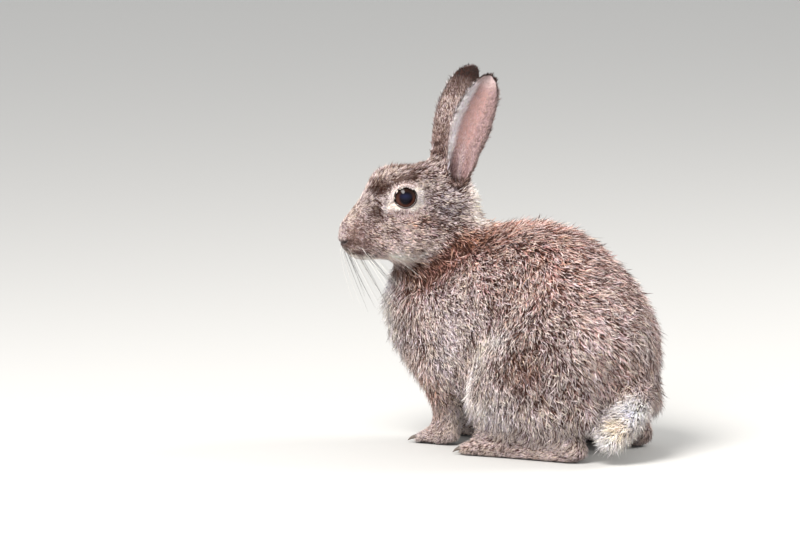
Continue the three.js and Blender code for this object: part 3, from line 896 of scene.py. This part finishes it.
def ear_colours(points, normal, edges, colour, weights):
    """Skin and fur of the ears: ticked outside, pink inside, with pale margins, a dark rim and painted shade
    low in the hollow.
    """
    head, weight = to_head(points), share_of(weights, "ear")[:, 0]
    skin, fur = colour.copy(), colour.copy()
    inside = np.zeros((len(points), 1))
    for _, mine, share, _, _, take in each_ear(head, weight, 0.25):
        away = ((normal[mine] @ HEAD_AXES.T) * unit(head[mine] - take["centre"])).sum(1)
        inside[mine, 0] = step(away, 0.25, -0.25) * step(share, 0.1, 0.2)
    inside = step(spread(inside, edges, 40), 0.38, 0.6)
    for side, mine, share, sweep, _, _ in each_ear(head, weight, 0.25):
        share, sweep = share[:, None], sweep[:, None]
        front = -sweep * side
        rim = step(np.abs(sweep), 0.90, 0.99) * step(share, 0.4, 0.7) * 0.85
        back = mix(EAR_LOW, EAR_HIGH, step(share, 0.3, 0.6))
        back = back * (1 - 0.5 * step(share, 0.65, 0.85))
        back = mix(back, BLACK, np.maximum(step(share, 0.80, 0.89), rim))
        streaks = np.clip(np.sin(sweep * 11 + 3 * share), 0, 1) * step(share, 0.5, 0.25) * 0.3
        pale = step(front, 0.32, 0.6) * step(front, 1.0, 0.88) * step(share, 0.97, 0.86)
        hairy = np.maximum(step(-front, 0.35, 0.7), step(share, 0.82, 0.94))
        # painted shade: the lining is darker low in the ear's hollow
        lining = mix(EAR_PINK, EAR_HOLLOW_SHADE, step(share, 0.42, 0.18))
        for paint, amount in (
            (EAR_PALE, np.maximum(pale, streaks) * 0.95),
            (EAR_MARGIN, hairy * 0.8),
            (EAR_NEAR_TIP, step(share, 0.86, 0.93) * step(share, 1.0, 0.97) * 0.4),
            (EAR_EDGE, step(-front, 0.80, 0.93) * step(share, 0.97, 0.88) * 0.8),
            (back, step(front, 0.88, 0.97)),
        ):
            lining = mix(lining, paint, amount)
        hair = mix(lining, WHITE * 0.8, 0.22 * (1 - hairy))
        blend = step(weight[mine], 0.25, 0.6)[:, None]
        inner = inside[mine]
        fur[mine] = mix(fur[mine], np.where(inner > 0.5, hair, back), blend)
        skin[mine] = mix(skin[mine], np.where(inner > 0.5, lining, back), blend)
        inside[mine] = inner * blend
    return skin, fur, inside


# ---- the lie of the coat


def turned(way, normal, angle):
    """A way in the surface, turned about the normal."""
    return way * np.cos(angle) + np.cross(normal, way) * np.sin(angle)


def lie_of_coat(points, normal, weights, edges):
    """The way the hair lies at each vertex, in the surface."""
    head, in_head, in_ear = to_head(points), share_of(weights, "head"), share_of(weights, "ear")
    k = KINDS.index("head")
    way = weights[:, :k] @ FLOWS[:k] + weights[:, k + 1 :] @ FLOWS[k + 1 :]
    steep = step(-points[:, 1:2], 30, 80) * share_of(weights, "trunk")
    way = way + steep * np.array([0, -0.7, -0.8])
    face = FLOWS[k] + step(head[:, 2:], 10, 30) * np.array([0, 0, 0.3])
    way = way + (face @ HEAD_AXES) * in_head
    for _, mine, _, sweep, _, take in each_ear(head, in_ear[:, 0], 0.2):
        along = take["up"] + take["across"] * (sweep * 0.35)[:, None]
        way[mine] = mix(way[mine], along @ HEAD_AXES, in_ear[mine])
    way = tangent(way, normal)
    way = tangent(spread(way, edges, 10), normal)
    for side, _ in SIDES:
        _, beyond, reach = around_eye(head, side)
        off = tangent((head - sided(EYE_IN_HEAD, side)) @ HEAD_AXES, normal)
        close = (step(beyond, 5.5, 1.5) * (reach < 16))[:, None]
        way = tangent(mix(way, off + 0.35 * way, close), normal)
    swirl = np.radians(26 * noise(points, 17, 11) + 24 * noise(points, 7, 12))[:, None]
    return turned(way, normal, swirl * (1 - 0.65 * np.clip(in_head + in_ear, 0, 1)))


def coat_table(points, weights, inside, normal):
    """Length, width, lift and density of the locks at each vertex."""
    head, in_head, in_ear = to_head(points), share_of(weights, "head"), share_of(weights, "ear")
    both = mirrored(head)
    table = weights @ LOCKS
    for name, share in (
        ("muzzle", step(-head[:, 1:2], 50, 76) * in_head),
        ("cheek", near(both, (16, -20, -8), (14, 16, 14)) * in_head),
        ("crown", near(both, (6, -50, 36), (12, 20, 9)) * in_head),
        ("ruff", near(both, (8, 5, 16), (16, 11, 17)) * (1 - in_ear)),
    ):
        table = mix(table, LOCAL_LOCKS[name], share)
    for side, _ in SIDES:
        _, beyond, reach = around_eye(head, side)
        ring = (step(beyond, 9, 1.5) * (reach < 16))[:, None]
        table = mix(table, LOCAL_LOCKS["eye ring"], ring * in_head)
        table[:, 3] *= 1 - step(beyond, 0.4, 0.1) * (reach < 14)
    for _, mine, share, sweep, _, _ in each_ear(head, in_ear[:, 0], 0.3):
        share, sweep = share[:, None], sweep[:, None]
        fringe = step(np.abs(sweep), 0.25, 0.6) * step(share, 0.98, 0.8)
        lining = mix(LOCAL_LOCKS["ear lining"], LOCAL_LOCKS["ear fringe"], fringe)
        lining = mix(lining, LOCAL_LOCKS["ear hollow"], step(share, 0.5, 0.22))
        lining[:, :1] *= 1 - 0.5 * step(share, 0.85, 0.97)
        table[mine] = mix(table[mine], lining, inside[mine])
    table[:, :1] *= 1 - 0.45 * (in_ear * step(head[:, 2:], 88, 102))
    gap = gap_to(head, NOSTRIL, ACROSS_NOSTRIL)[0][:, None]
    on_face = in_head > 0.5
    table = mix(table, LOCAL_LOCKS["nostril"], step(gap, 3.2, 1.0) * on_face)
    table[:, 3:] *= 1 - step(gap, 1.4, 1.1) * on_face
    soles = step(-normal[:, 2:], 0.7, 0.95) * step(points[:, 2:], 6, 2)
    under = step(-normal[:, 2:], 0.5, 0.9) * step(points[:, 2:], 70, 50)
    table[:, 3:] *= (1 - soles) * (1 - 0.4 * under)
    return table


def lay_locks(skin, way, table, fur, inside):
    """Picks the roots of the locks all over the skin, each with its own size and lie."""
    mesh = skin.data
    points, normal, tri = points_of(mesh), normals_of(mesh), triangles_of(mesh)
    a, b, c = (points[tri[:, k]] for k in range(3))
    area = np.linalg.norm(np.cross(b - a, c - a), axis=1) / 2
    total = np.cumsum(area * table[tri, 3].mean(1))
    number = int(total[-1])
    picks = np.searchsorted(total, (np.arange(number) + RNG.random(number)) / number * total[-1])
    picks = np.minimum(picks, len(tri) - 1)
    r1, r2 = np.sqrt(RNG.random(number)), RNG.random(number)
    share = np.stack([1 - r1, r1 * (1 - r2), r1 * r2], 1)

    def blend(values, of=tri):
        return np.einsum("nk,nkj->nj", share, values[of[picks]])

    up = unit(blend(normal))
    return dict(
        root=blend(points), up=up, way=tangent(blend(way), up), table=blend(table),
        fur=blend(fur), inside=blend(inside)[:, 0],
        uv=blend(fetch(mesh.uv_layers["OFBake"].uv, "vector", 2), triangles_of(mesh, "loops")),
    )


# ---- the locks

RING_SHARES = {1: [0.56], 2: [0.38, 0.76]}  # how far along a lock its rings are
RING_WIDTHS = (0.46, 0.42)  # half width at each ring, against the lock's width
TUFTED = 0.55  # of the locks are of one kind with their neighbours
WHITE_FROM, WHITE_RANGE = 0.57, 0.22  # brightness where fur starts to lose its bands, and over what
MIDDLING = 0.40  # brightness with the usual shares of dark and pale locks


def clump_pull(root, up):
    """The way from each root to the middle of its clump, in the surface."""
    cell = np.floor(root / CLUMP)
    jitter = np.stack([hashed(cell, seed) for seed in (21, 22, 23)], 1)
    pull = (cell + 0.2 + 0.6 * jitter) * CLUMP - root
    return pull - up * (pull * up).sum(1, keepdims=True)


def lock_shapes(locks, rings):
    """Closed ridged locks: a point at the root, one or two three-sided rings and a point."""
    n, up = len(locks["root"]), locks["up"]
    length, width, lift = (locks["table"][:, k] for k in range(3))
    clump = clump_pull(locks["root"], up) * np.clip(length / 11, 0, 1)[:, None] * 0.8
    guard = (locks["kind"] < DARK_SHARE * 0.5) & (length > GUARD_LENGTH)
    length = length * RNG.uniform(0.62, 1.2, n) * np.where(guard, 1.08, 1)
    width = width * RNG.uniform(0.65, 1.25, n)
    lift = np.radians(lift * RNG.uniform(0.4, 1.4, n) * np.where(guard, 1.1, 1))
    turn = np.radians(RNG.normal(0, 1, n) * (9 + 0.9 * locks["table"][:, 0]))[:, None]
    way = turned(locks["way"], up, turn)
    side = np.cross(way, up)
    droop = RNG.uniform(-0.15, 0.6, n)
    bend = RNG.normal(0, 0.17, n)
    sunk = np.minimum(0.04 * length, 0.35)
    shares = [0.0] + RING_SHARES[rings] + [1.0]
    spines = []
    for s in shares:
        rise = np.sin(lift) * (s - droop * s * s) * length
        run = np.cos(lift) * s * length
        drift = bend * s * s * length
        at = locks["root"] - up * sunk[:, None] + way * run[:, None] + up * rise[:, None]
        spines.append(at + side * drift[:, None] + clump * s * s)
    rows = [spines[0][:, None]]
    for k, fat in enumerate(RING_WIDTHS[:rings], 1):
        half = (width * fat)[:, None]
        along = unit(spines[k + 1] - spines[k - 1])
        out = tangent(up, along)
        wide, at = np.cross(along, out), spines[k]
        rows.append(np.stack([at - wide * half, at + out * half * 0.6, at + wide * half], 1))
    points = np.concatenate(rows + [spines[-1][:, None]], axis=1)
    points[..., 2] = np.maximum(points[..., 2], FLOOR_GAP)
    first, last, tip = 1, 3 * rings - 2, 3 * rings + 1
    faces = []
    for k, m in ((0, 1), (1, 2), (2, 0)):
        faces += [[0, first + k, first + m], [tip, last + m, last + k]]
        if rings == 2:
            faces += [[first + k, last + k, last + m], [first + k, last + m, first + m]]
    aside = [0.5] + [0.0, 0.5, 1.0] * rings + [0.5]
    along = np.repeat(shares, [1] + [3] * rings + [1])
    return points, np.array(faces)[:, ::-1], along, np.array(aside)


def lock_kinds(locks):
    """0 to 1 for each lock: the low ones are dark, the high ones pale, neighbours often alike."""
    tuft = hashed(np.floor(locks["root"] / (0.9 + 0.06 * locks["table"][:, :1])), 31)
    kind = np.where(RNG.random(len(tuft)) < TUFTED, tuft, RNG.random(len(tuft)))
    return np.where(locks["inside"] > 0.5, 0.4 + 0.6 * kind, kind)


def lock_colours(locks, along):
    """Agouti banding: slate roots, a dark band, then a pale, a middling or a dark tip."""
    n, fur = len(locks["root"]), locks["fur"]
    mean, kind, bald = fur.mean(1), locks["kind"], locks["inside"][:, None]
    pale = (mean - WHITE_FROM).clip(0, WHITE_RANGE)[:, None] / WHITE_RANGE
    value = RNG.normal(1.0, 0.14, n).clip(0.6, 1.4)[:, None]
    gloom = ((MIDDLING - mean) / MIDDLING).clip(-0.35, 0.6)
    dark = (kind < DARK_SHARE + 0.4 * gloom)[:, None]
    bright = (kind > 0.55 + 0.72 * gloom)[:, None]
    vivid = 1 - fur.min(1) / np.maximum(fur.max(1), 0.01)
    creamy = (0.68 - 1.3 * gloom.clip(0, 1) - 1.2 * (vivid - 0.4).clip(0, 1)).clip(0, 1)[:, None]
    calm = step(locks["table"][:, :1], 5.0, 2.6)  # short fur is more even
    tan = CREAM * (1.5 * mean / np.mean(CREAM))[:, None]
    tip = np.where(bright, mix(mix(fur * 1.45, tan, 0.5), CREAM, creamy), fur * 1.15)
    even = np.maximum(0.04 + 0.8 * pale, 0.3 * calm)
    tip = np.where(dark, mix(DARK * 0.45, fur, even), tip)
    tip = mix(tip, fur * (0.75 + 0.6 * kind[:, None]), bald)
    rich = fur * UNDERFUR
    band = np.where(bright, rich * 0.62, rich * 0.32)
    band = np.where(dark, DARK * 0.36, band)
    band = mix(band, fur * 0.95, np.maximum(np.maximum(pale, bald), 0.25 * calm))
    root = mix(mix(rich * 0.14, fur * 0.75, pale), fur * 0.9, bald)
    ramp = along[None, :, None]
    low = mix(root[:, None], band[:, None], step(ramp, 0.0, 0.36))
    out = mix(low, tip[:, None], step(ramp, 0.28, 0.72))
    hue = 1 + RNG.normal(0, 1, n)[:, None] * np.array([0.01, 0.01, -0.06])
    return np.clip(out * (value * hue)[:, None], 0.004, 0.98)


def share_out(locks):
    """Gives each lock a cell of the bake map, and a coat piece where no other lock has that cell."""
    cells = int(1 / PATCH)
    cell = np.clip((locks["uv"] / PATCH).astype(int), 0, cells - 1)
    key = cell[:, 0] * cells + cell[:, 1]
    order = np.argsort(key, kind="stable")
    starts = np.r_[0, np.flatnonzero(np.diff(key[order])) + 1]
    sizes = np.diff(np.r_[starts, len(key)])
    rank = np.arange(len(key)) - np.repeat(starts, sizes)
    offset = np.repeat(RNG.integers(0, PIECES, len(starts)), sizes)
    piece = np.empty(len(key), int)
    piece[order] = (rank + offset) % PIECES
    return cell, piece


def make_coat(locks, material):
    locks["kind"] = lock_kinds(locks)
    cell, piece = share_out(locks)
    long_lock = locks["table"][:, 0] * RNG.uniform(0.6, 1.3, len(piece)) > LONG_LOCK
    for number in range(PIECES):
        parts, colours, corners_uv = [], [], []
        for rings in (1, 2):
            mine = (piece == number) & (long_lock == (rings == 2))
            some = {key: value[mine] for key, value in locks.items()}
            shape, tri, along, aside = lock_shapes(some, rings)
            n, per = shape.shape[:2]
            colours.append(lock_colours(some, along).reshape(-1, 3))
            faces = tri[None] + (np.arange(n) * per)[:, None, None]
            parts.append((shape.reshape(-1, 3), faces.reshape(-1, 3)))
            patch = np.stack([aside, along], 1) * 0.94 + 0.03
            uv = (cell[mine][:, None] + patch[None]) * PATCH
            corners_uv.append(uv[:, tri.ravel()].reshape(-1, 2))
        coat = make_mesh(f"coat_{number + 1}", *joined(parts))
        put_values(coat.data, "coat", "FLOAT_COLOR", np.concatenate(colours))
        layer = coat.data.uv_layers.new(name="OFBake")
        layer.uv.foreach_set("vector", np.concatenate(corners_uv).astype(np.float32).ravel())
        coat.data.materials.append(material)
        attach(coat, "root")


# ---- eyes, lids, claws, whiskers

EYE_RINGS, EYE_AROUND = 72, 96
EYE_SINK, CORNEA = 0.12, 0.5  # how far the ball is set back, and its bulge in front
CORNEA_REACH = 0.7  # radians from the gaze


def out_of_eye(angle, turn):
    """The way out of the eye at an angle from the gaze, in the eye's own frame."""
    return np.stack([np.sin(angle) * np.cos(turn), np.sin(angle) * np.sin(turn), np.cos(angle)], -1)


def make_eye(side, word, material):
    """An eyeball with the bulge of its cornea, made round its own gaze."""
    polar = np.linspace(0, math.pi, EYE_RINGS + 1)[1:-1]
    bulge = CORNEA * np.clip(1 - (polar / CORNEA_REACH) ** 2, 0, 1) ** 1.5
    radius = EYE_RADIUS - EYE_SINK + bulge
    p, t = np.meshgrid(polar, round_turn(EYE_AROUND), indexing="ij")
    local = (out_of_eye(p, t) * radius[:, None, None]).reshape(-1, 3)
    ends = [[0, 0, EYE_RADIUS - EYE_SINK + CORNEA], [0, 0, EYE_SINK - EYE_RADIUS]]
    local = np.concatenate([local, ends])
    points = from_head(sided(EYE_IN_HEAD, side) + local @ eye_frame(side))
    faces = tube_faces(len(polar), EYE_AROUND)[:, ::side]
    eye = make_mesh(f"{word}_eyeball", points, faces)
    angle = np.concatenate([p.ravel(), [0, math.pi]])
    spin = np.concatenate([t.ravel(), [0, 0]])
    spoke = np.stack([np.cos(spin), np.sin(spin), angle * 0.35], 1)
    put_values(eye.data, "polar", "FLOAT", angle)
    put_values(eye.data, "spoke", "FLOAT_VECTOR", spoke)
    # where each point lies on the eye seen face on, for placing the painted reflection
    put_values(eye.data, "reflection_place", "FLOAT_VECTOR", out_of_eye(angle, spin) * np.array([1, 2, 0]))
    eye.data.materials.append(material)
    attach(eye, "root")
    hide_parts(f"{word}_eye")


def lid_rim(side):
    """The bare dark rim of the lids, as a thin roll round the opening."""
    turn = np.linspace(0, 2 * math.pi, 121)
    reach = EYE_RADIUS + 0.38 - 0.25 * bell(turn - TEAR_CORNER, 0.2)
    local = out_of_eye(lid_angle(turn) + 0.01, turn) * reach[:, None]
    line = sided(EYE_IN_HEAD, side) + local @ eye_frame(side)
    fat = 0.48 + 0.12 * np.sin(turn) - 0.2 * bell(turn - TEAR_CORNER, 0.16)
    return swept(from_head(line), fat, 10)


def make_lids(material):
    lids = make_mesh("lid_rims", *joined([lid_rim(1), lid_rim(-1)]))
    lids.data.materials.append(material)
    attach(lids, "root")


def make_claws(material):
    parts = []
    share = np.linspace(0, 1, 12)
    run, drop = 3.0 - 7.5 * share, 0.9 * share - 3.4 * share**2
    for foot in FEET.values():
        for side, _ in SIDES:
            for tip in toe_tips(foot, side):
                line = tip + np.stack([0 * share, run, drop + 0.3], 1)
                parts.append(swept(line, 1.15 * (1 - share) ** 0.6 + 0.1, 10))
    claws = make_mesh("claws", *joined(parts))
    claws.data.materials.append(material)
    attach(claws, "root")


def make_whiskers(materials):
    """Long stiff hairs from the pads of the muzzle, some dark and some pale."""
    share = np.linspace(0, 1, 16)[:, None]
    for number, (name, material) in enumerate(materials.items()):
        parts = []
        for side, _ in SIDES:
            for k in range(WHISKER_ROWS * WHISKER_COLUMNS):
                row, column = divmod(k, WHISKER_COLUMNS)
                length = 20 + 5 * column + 3 * row + RNG.uniform(-4, 5)
                aim = np.array([0.42, 0.2 + 0.16 * column, -0.22 - 0.16 * row])
                way = unit(aim + RNG.normal(0, 0.12, 3))
                sag = np.array([-0.25, 0.25, -0.4]) * RNG.uniform(0.5, 1.1)
                line = whisker_root(row, column) + way * length * share + sag * length * share**2
                if (k + (side < 0)) % 2 == number:
                    parts.append(swept(from_head(sided(line, side)), 0.13 * (1 - share[:, 0]) + 0.03, 4))
        hairs = make_mesh(f"whiskers_{name}", *joined(parts))
        hairs.data.materials.append(material)
        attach(hairs, "root")


# ---- studio

CAMERA_AZIMUTH, CAMERA_ELEVATION = 122.0, 8.0
CAMERA_LENS, SENSOR_WIDTH = 500.0, 36.0
CAMERA_REACH = 7111.0  # from the aim to the camera
CAMERA_AIM = (27.6, -74.4, 113.8)
LIGHT_AIM = Vector((0, 0, 0.1))  # in metres, as all the lights' lengths are
FLOOR_HALF, FLOOR_TOP = 6000, -0.05


def looks_along(obj, way):
    obj.rotation_mode = "QUATERNION"
    obj.rotation_quaternion = way.to_track_quat("-Z", "Y")


def camera():
    data = bpy.data.cameras.new("camera")
    data.lens = CAMERA_LENS
    data.sensor_width = SENSOR_WIDTH
    data.clip_start, data.clip_end = 0.1, 60.0
    cam = add_object("camera", data)
    a, e = math.radians(CAMERA_AZIMUTH), math.radians(CAMERA_ELEVATION)
    back = Vector((math.sin(a) * math.cos(e), -math.cos(a) * math.cos(e), math.sin(e)))
    cam.location = (Vector(CAMERA_AIM) + back * CAMERA_REACH) * MM
    looks_along(cam, -back)
    bpy.context.scene.camera = cam


def area_light(name, way, size, power, colour):
    data = bpy.data.lights.new(name, "AREA")
    data.shape = "DISK"
    data.size = size
    data.energy = power
    data.color = colour
    lamp = add_object(name, data)
    lamp.location = LIGHT_AIM + Vector(way)
    looks_along(lamp, -Vector(way))


def studio():
    world = bpy.data.worlds.new("studio")
    bpy.context.scene.world = world
    world.use_nodes = True
    sky = {"Color": (0.96, 0.97, 0.98, 1), "Strength": 0.92}
    set_inputs(world.node_tree.nodes["Background"], sky)
    area_light("key", (1.2, 0.0, 1.42), 0.9, 66, (1.0, 0.97, 0.94))
    area_light("back", (-1.1, 0.9, 0.8), 0.8, 20, (1.0, 0.98, 0.94))
    bpy.context.scene.view_settings.view_transform = "Standard"
    square = np.array([[-1, -1, 0], [1, -1, 0], [1, 1, 0], [-1, 1, 0]]) * FLOOR_HALF
    floor = make_mesh("floor", square + [0, 0, FLOOR_TOP], np.array([[0, 1, 2, 3]]), smooth=False)
    look = {"Base Color": (0.44, 0.436, 0.425, 1), "Roughness": 0.9}
    floor.data.materials.append(principled("floor", look)[0])


# ---- materials

PUPIL, IRIS = 0.50, 0.98  # half angles round the gaze
EYE_RAMP = 1.6  # the half angle at the end of the eye's ramp of colours


def set_inputs(node, values):
    for name, value in values.items():
        node.inputs[name].default_value = value


def principled(name, values):
    material = bpy.data.materials.new(name)
    material.use_nodes = True
    shader = material.node_tree.nodes["Principled BSDF"]
    set_inputs(shader, values)
    return material, shader


def add_node(material, kind, values=None, **settings):
    """A shader node with some settings and some values for its inputs."""
    node = material.node_tree.nodes.new(f"ShaderNode{kind}")
    for name, value in settings.items():
        setattr(node, name, value)
    set_inputs(node, values or {})
    return node


def add_range(material, low, high, to_low=0.0, to_high=1.0, **settings):
    ends = {"From Min": low, "From Max": high, "To Min": to_low, "To Max": to_high}
    return add_node(material, "MapRange", ends, **settings)


def wire(material, *links):
    """Each link is a node and its output, then a node and its input."""
    for source, output, target, into in links:
        material.node_tree.links.new(source.outputs[output], target.inputs[into])


def add_grain(material, scale, detail=2):
    """Fine noise fixed to the object."""
    where = add_node(material, "TexCoord")
    grain = add_node(material, "TexNoise", {"Scale": scale, "Detail": detail})
    wire(material, (where, "Object", grain, "Vector"))
    return grain


def fur_material():
    """Hair colour from the locks, streaked along their length by fine noise."""
    material, shader = principled("fur", {"Roughness": 0.55, "Specular IOR Level": 0.07})
    colour = add_node(material, "Attribute", attribute_name="coat")
    grain = add_grain(material, 2600)
    shade = add_range(material, 0.3, 0.7, 0.78, 1.18)
    scale = add_node(material, "VectorMath", operation="SCALE")
    wire(
        material,
        (grain, "Fac", shade, "Value"),
        (colour, "Color", scale, 0),
        (shade, "Result", scale, "Scale"),
        (scale, "Vector", shader, "Base Color"),
    )
    return material


def plain_material(name, colour, roughness, coat=0.0):
    """One colour, lightly clouded by noise, for claws, lids and whiskers."""
    look = {"Roughness": roughness, "Coat Weight": coat, "Coat Roughness": 0.1}
    material, shader = principled(name, look)
    grain = add_grain(material, 600)
    ramp = add_node(material, "ValToRGB")
    low, high = ramp.color_ramp.elements
    low.color = (*(c * 0.7 for c in colour), 1)
    high.color = (*(min(c * 1.35, 1) for c in colour), 1)
    wire(
        material,
        (grain, "Fac", ramp, "Fac"),
        (ramp, "Color", shader, "Base Color"),
    )
    return material


def eye_material():
    """A black pupil in a dark red-brown iris with fine spokes, under a wet film, with painted shade over the
    top of the iris, painted light below and a painted navy reflection above the pupil's middle.
    """
    look = {
        "Roughness": 0.6, "Specular IOR Level": 0.0,
        "Coat Weight": 1.0, "Coat Roughness": 0.09, "Coat IOR": 1.22,
    }
    material, shader = principled("eye", look)
    polar, spoke, reflection_place = (
        add_node(material, "Attribute", attribute_name=name) for name in ("polar", "spoke", "reflection_place")
    )
    fibres = add_node(material, "TexNoise", {"Scale": 9, "Detail": 5})
    wobble = add_node(material, "Math", {1: 0.16}, operation="MULTIPLY_ADD")
    scale = add_node(material, "Math", {1: EYE_RAMP}, operation="DIVIDE")
    rings = add_node(material, "ValToRGB")
    stops = (
        (0.0, (0.002, 0.002, 0.005)),
        (PUPIL, (0.002, 0.001, 0.003)),
        (PUPIL + 0.08, (0.018, 0.006, 0.005)),
        (PUPIL + 0.20, (0.050, 0.018, 0.011)),
        (IRIS - 0.10, (0.038, 0.014, 0.010)),
        (IRIS, (0.006, 0.003, 0.003)),
    )
    while len(rings.color_ramp.elements) < len(stops):
        rings.color_ramp.elements.new(0.5)
    for element, (angle, colour) in zip(rings.color_ramp.elements, stops):
        element.position = angle / EYE_RAMP
        element.color = (*colour, 1)
    # painted shade: the iris is darkened towards the top, under the upper lid, and lightened towards the
    # bottom
    parts = add_node(material, "SeparateXYZ")
    shade = add_range(material, 0.7, -0.5, 0.25, 1.5)
    lid_shaded_iris = add_node(material, "VectorMath", operation="SCALE")
    # painted reflection: a soft navy spot just above the middle of the pupil
    off = add_node(material, "VectorMath", {1: (-0.04, 0.32, 0)}, operation="DISTANCE")
    soft = add_range(material, 0.66, 0.0, interpolation_type="SMOOTHSTEP")
    painted_reflection = add_node(material, "Mix", data_type="RGBA")
    set_inputs(painted_reflection, {"B": (0.010, 0.011, 0.030, 1)})
    wire(
        material,
        (spoke, "Vector", parts, "Vector"),
        (parts, "Y", shade, "Value"),
        (shade, "Result", lid_shaded_iris, "Scale"),
        (spoke, "Vector", fibres, "Vector"),
        (fibres, "Fac", wobble, 0),
        (polar, "Fac", wobble, 2),
        (wobble, "Value", scale, 0),
        (scale, "Value", rings, "Fac"),
        (rings, "Color", lid_shaded_iris, 0),
        (reflection_place, "Vector", off, 0),
        (off, "Value", soft, "Value"),
        (soft, "Result", painted_reflection, "Factor"),
        (lid_shaded_iris, "Vector", painted_reflection, "A"),
        (painted_reflection, "Result", shader, "Base Color"),
    )
    return material


def skin_material():
    material, shader = principled("skin", {"Roughness": 0.7})
    colour = add_node(material, "Attribute", attribute_name="coat")
    grain = add_grain(material, 1500, 4)
    bump = add_node(material, "Bump", {"Strength": 0.35, "Distance": 0.0003})
    wire(
        material,
        (grain, "Fac", bump, "Height"),
        (bump, "Normal", shader, "Normal"),
        (colour, "Color", shader, "Base Color"),
    )
    return material


# ---- the scene


def unwrap(skin):
    """Lays the skin out flat in the bake map, where each lock then has the patch of its root."""
    skin.data.uv_layers.new(name="OFBake")
    bpy.ops.object.select_all(action="DESELECT")
    skin.select_set(True)
    bpy.context.view_layer.objects.active = skin
    bpy.ops.object.mode_set(mode="EDIT")
    bpy.ops.mesh.select_all(action="SELECT")
    bpy.ops.uv.smart_project(angle_limit=math.radians(66), island_margin=0.004, scale_to_bounds=True)
    bpy.ops.object.mode_set(mode="OBJECT")


def build():
    skin, weights = make_skin()
    unwrap(skin)
    mesh = skin.data
    points, normal, edges = points_of(mesh), normals_of(mesh), edges_of(mesh)
    colour = markings(points, weights)
    under, fur, inside = ear_colours(points, normal, edges, colour, weights)
    table = coat_table(points, weights, inside, normal)
    bare = np.maximum(inside, step(table[:, :1], 3.8, 2.5) * 0.6)
    # painted shade: the skin is darkened where the coat is deep, for the shadow among the locks
    put_values(mesh, "coat", "FLOAT_COLOR", mix(under * SHADE, under, bare))
    mesh.materials.clear()
    mesh.materials.append(skin_material())
    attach(skin, "root")
    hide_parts(*FLESH)
    way = lie_of_coat(points, normal, weights, edges)
    locks = lay_locks(skin, way, table, fur, inside)
    make_coat(locks, fur_material())
    glassy = eye_material()
    for side, word in SIDES:
        make_eye(side, word, glassy)
    make_lids(plain_material("lids", (0.028, 0.018, 0.015), 0.4, 0.3))
    make_claws(plain_material("claws", (0.10, 0.075, 0.06), 0.35, 0.2))
    make_whiskers({
        "dark": plain_material("dark_whiskers", (0.03, 0.025, 0.022), 0.4),
        "pale": plain_material("pale_whiskers", (0.75, 0.72, 0.68), 0.4),
    })


build()
camera()
studio()
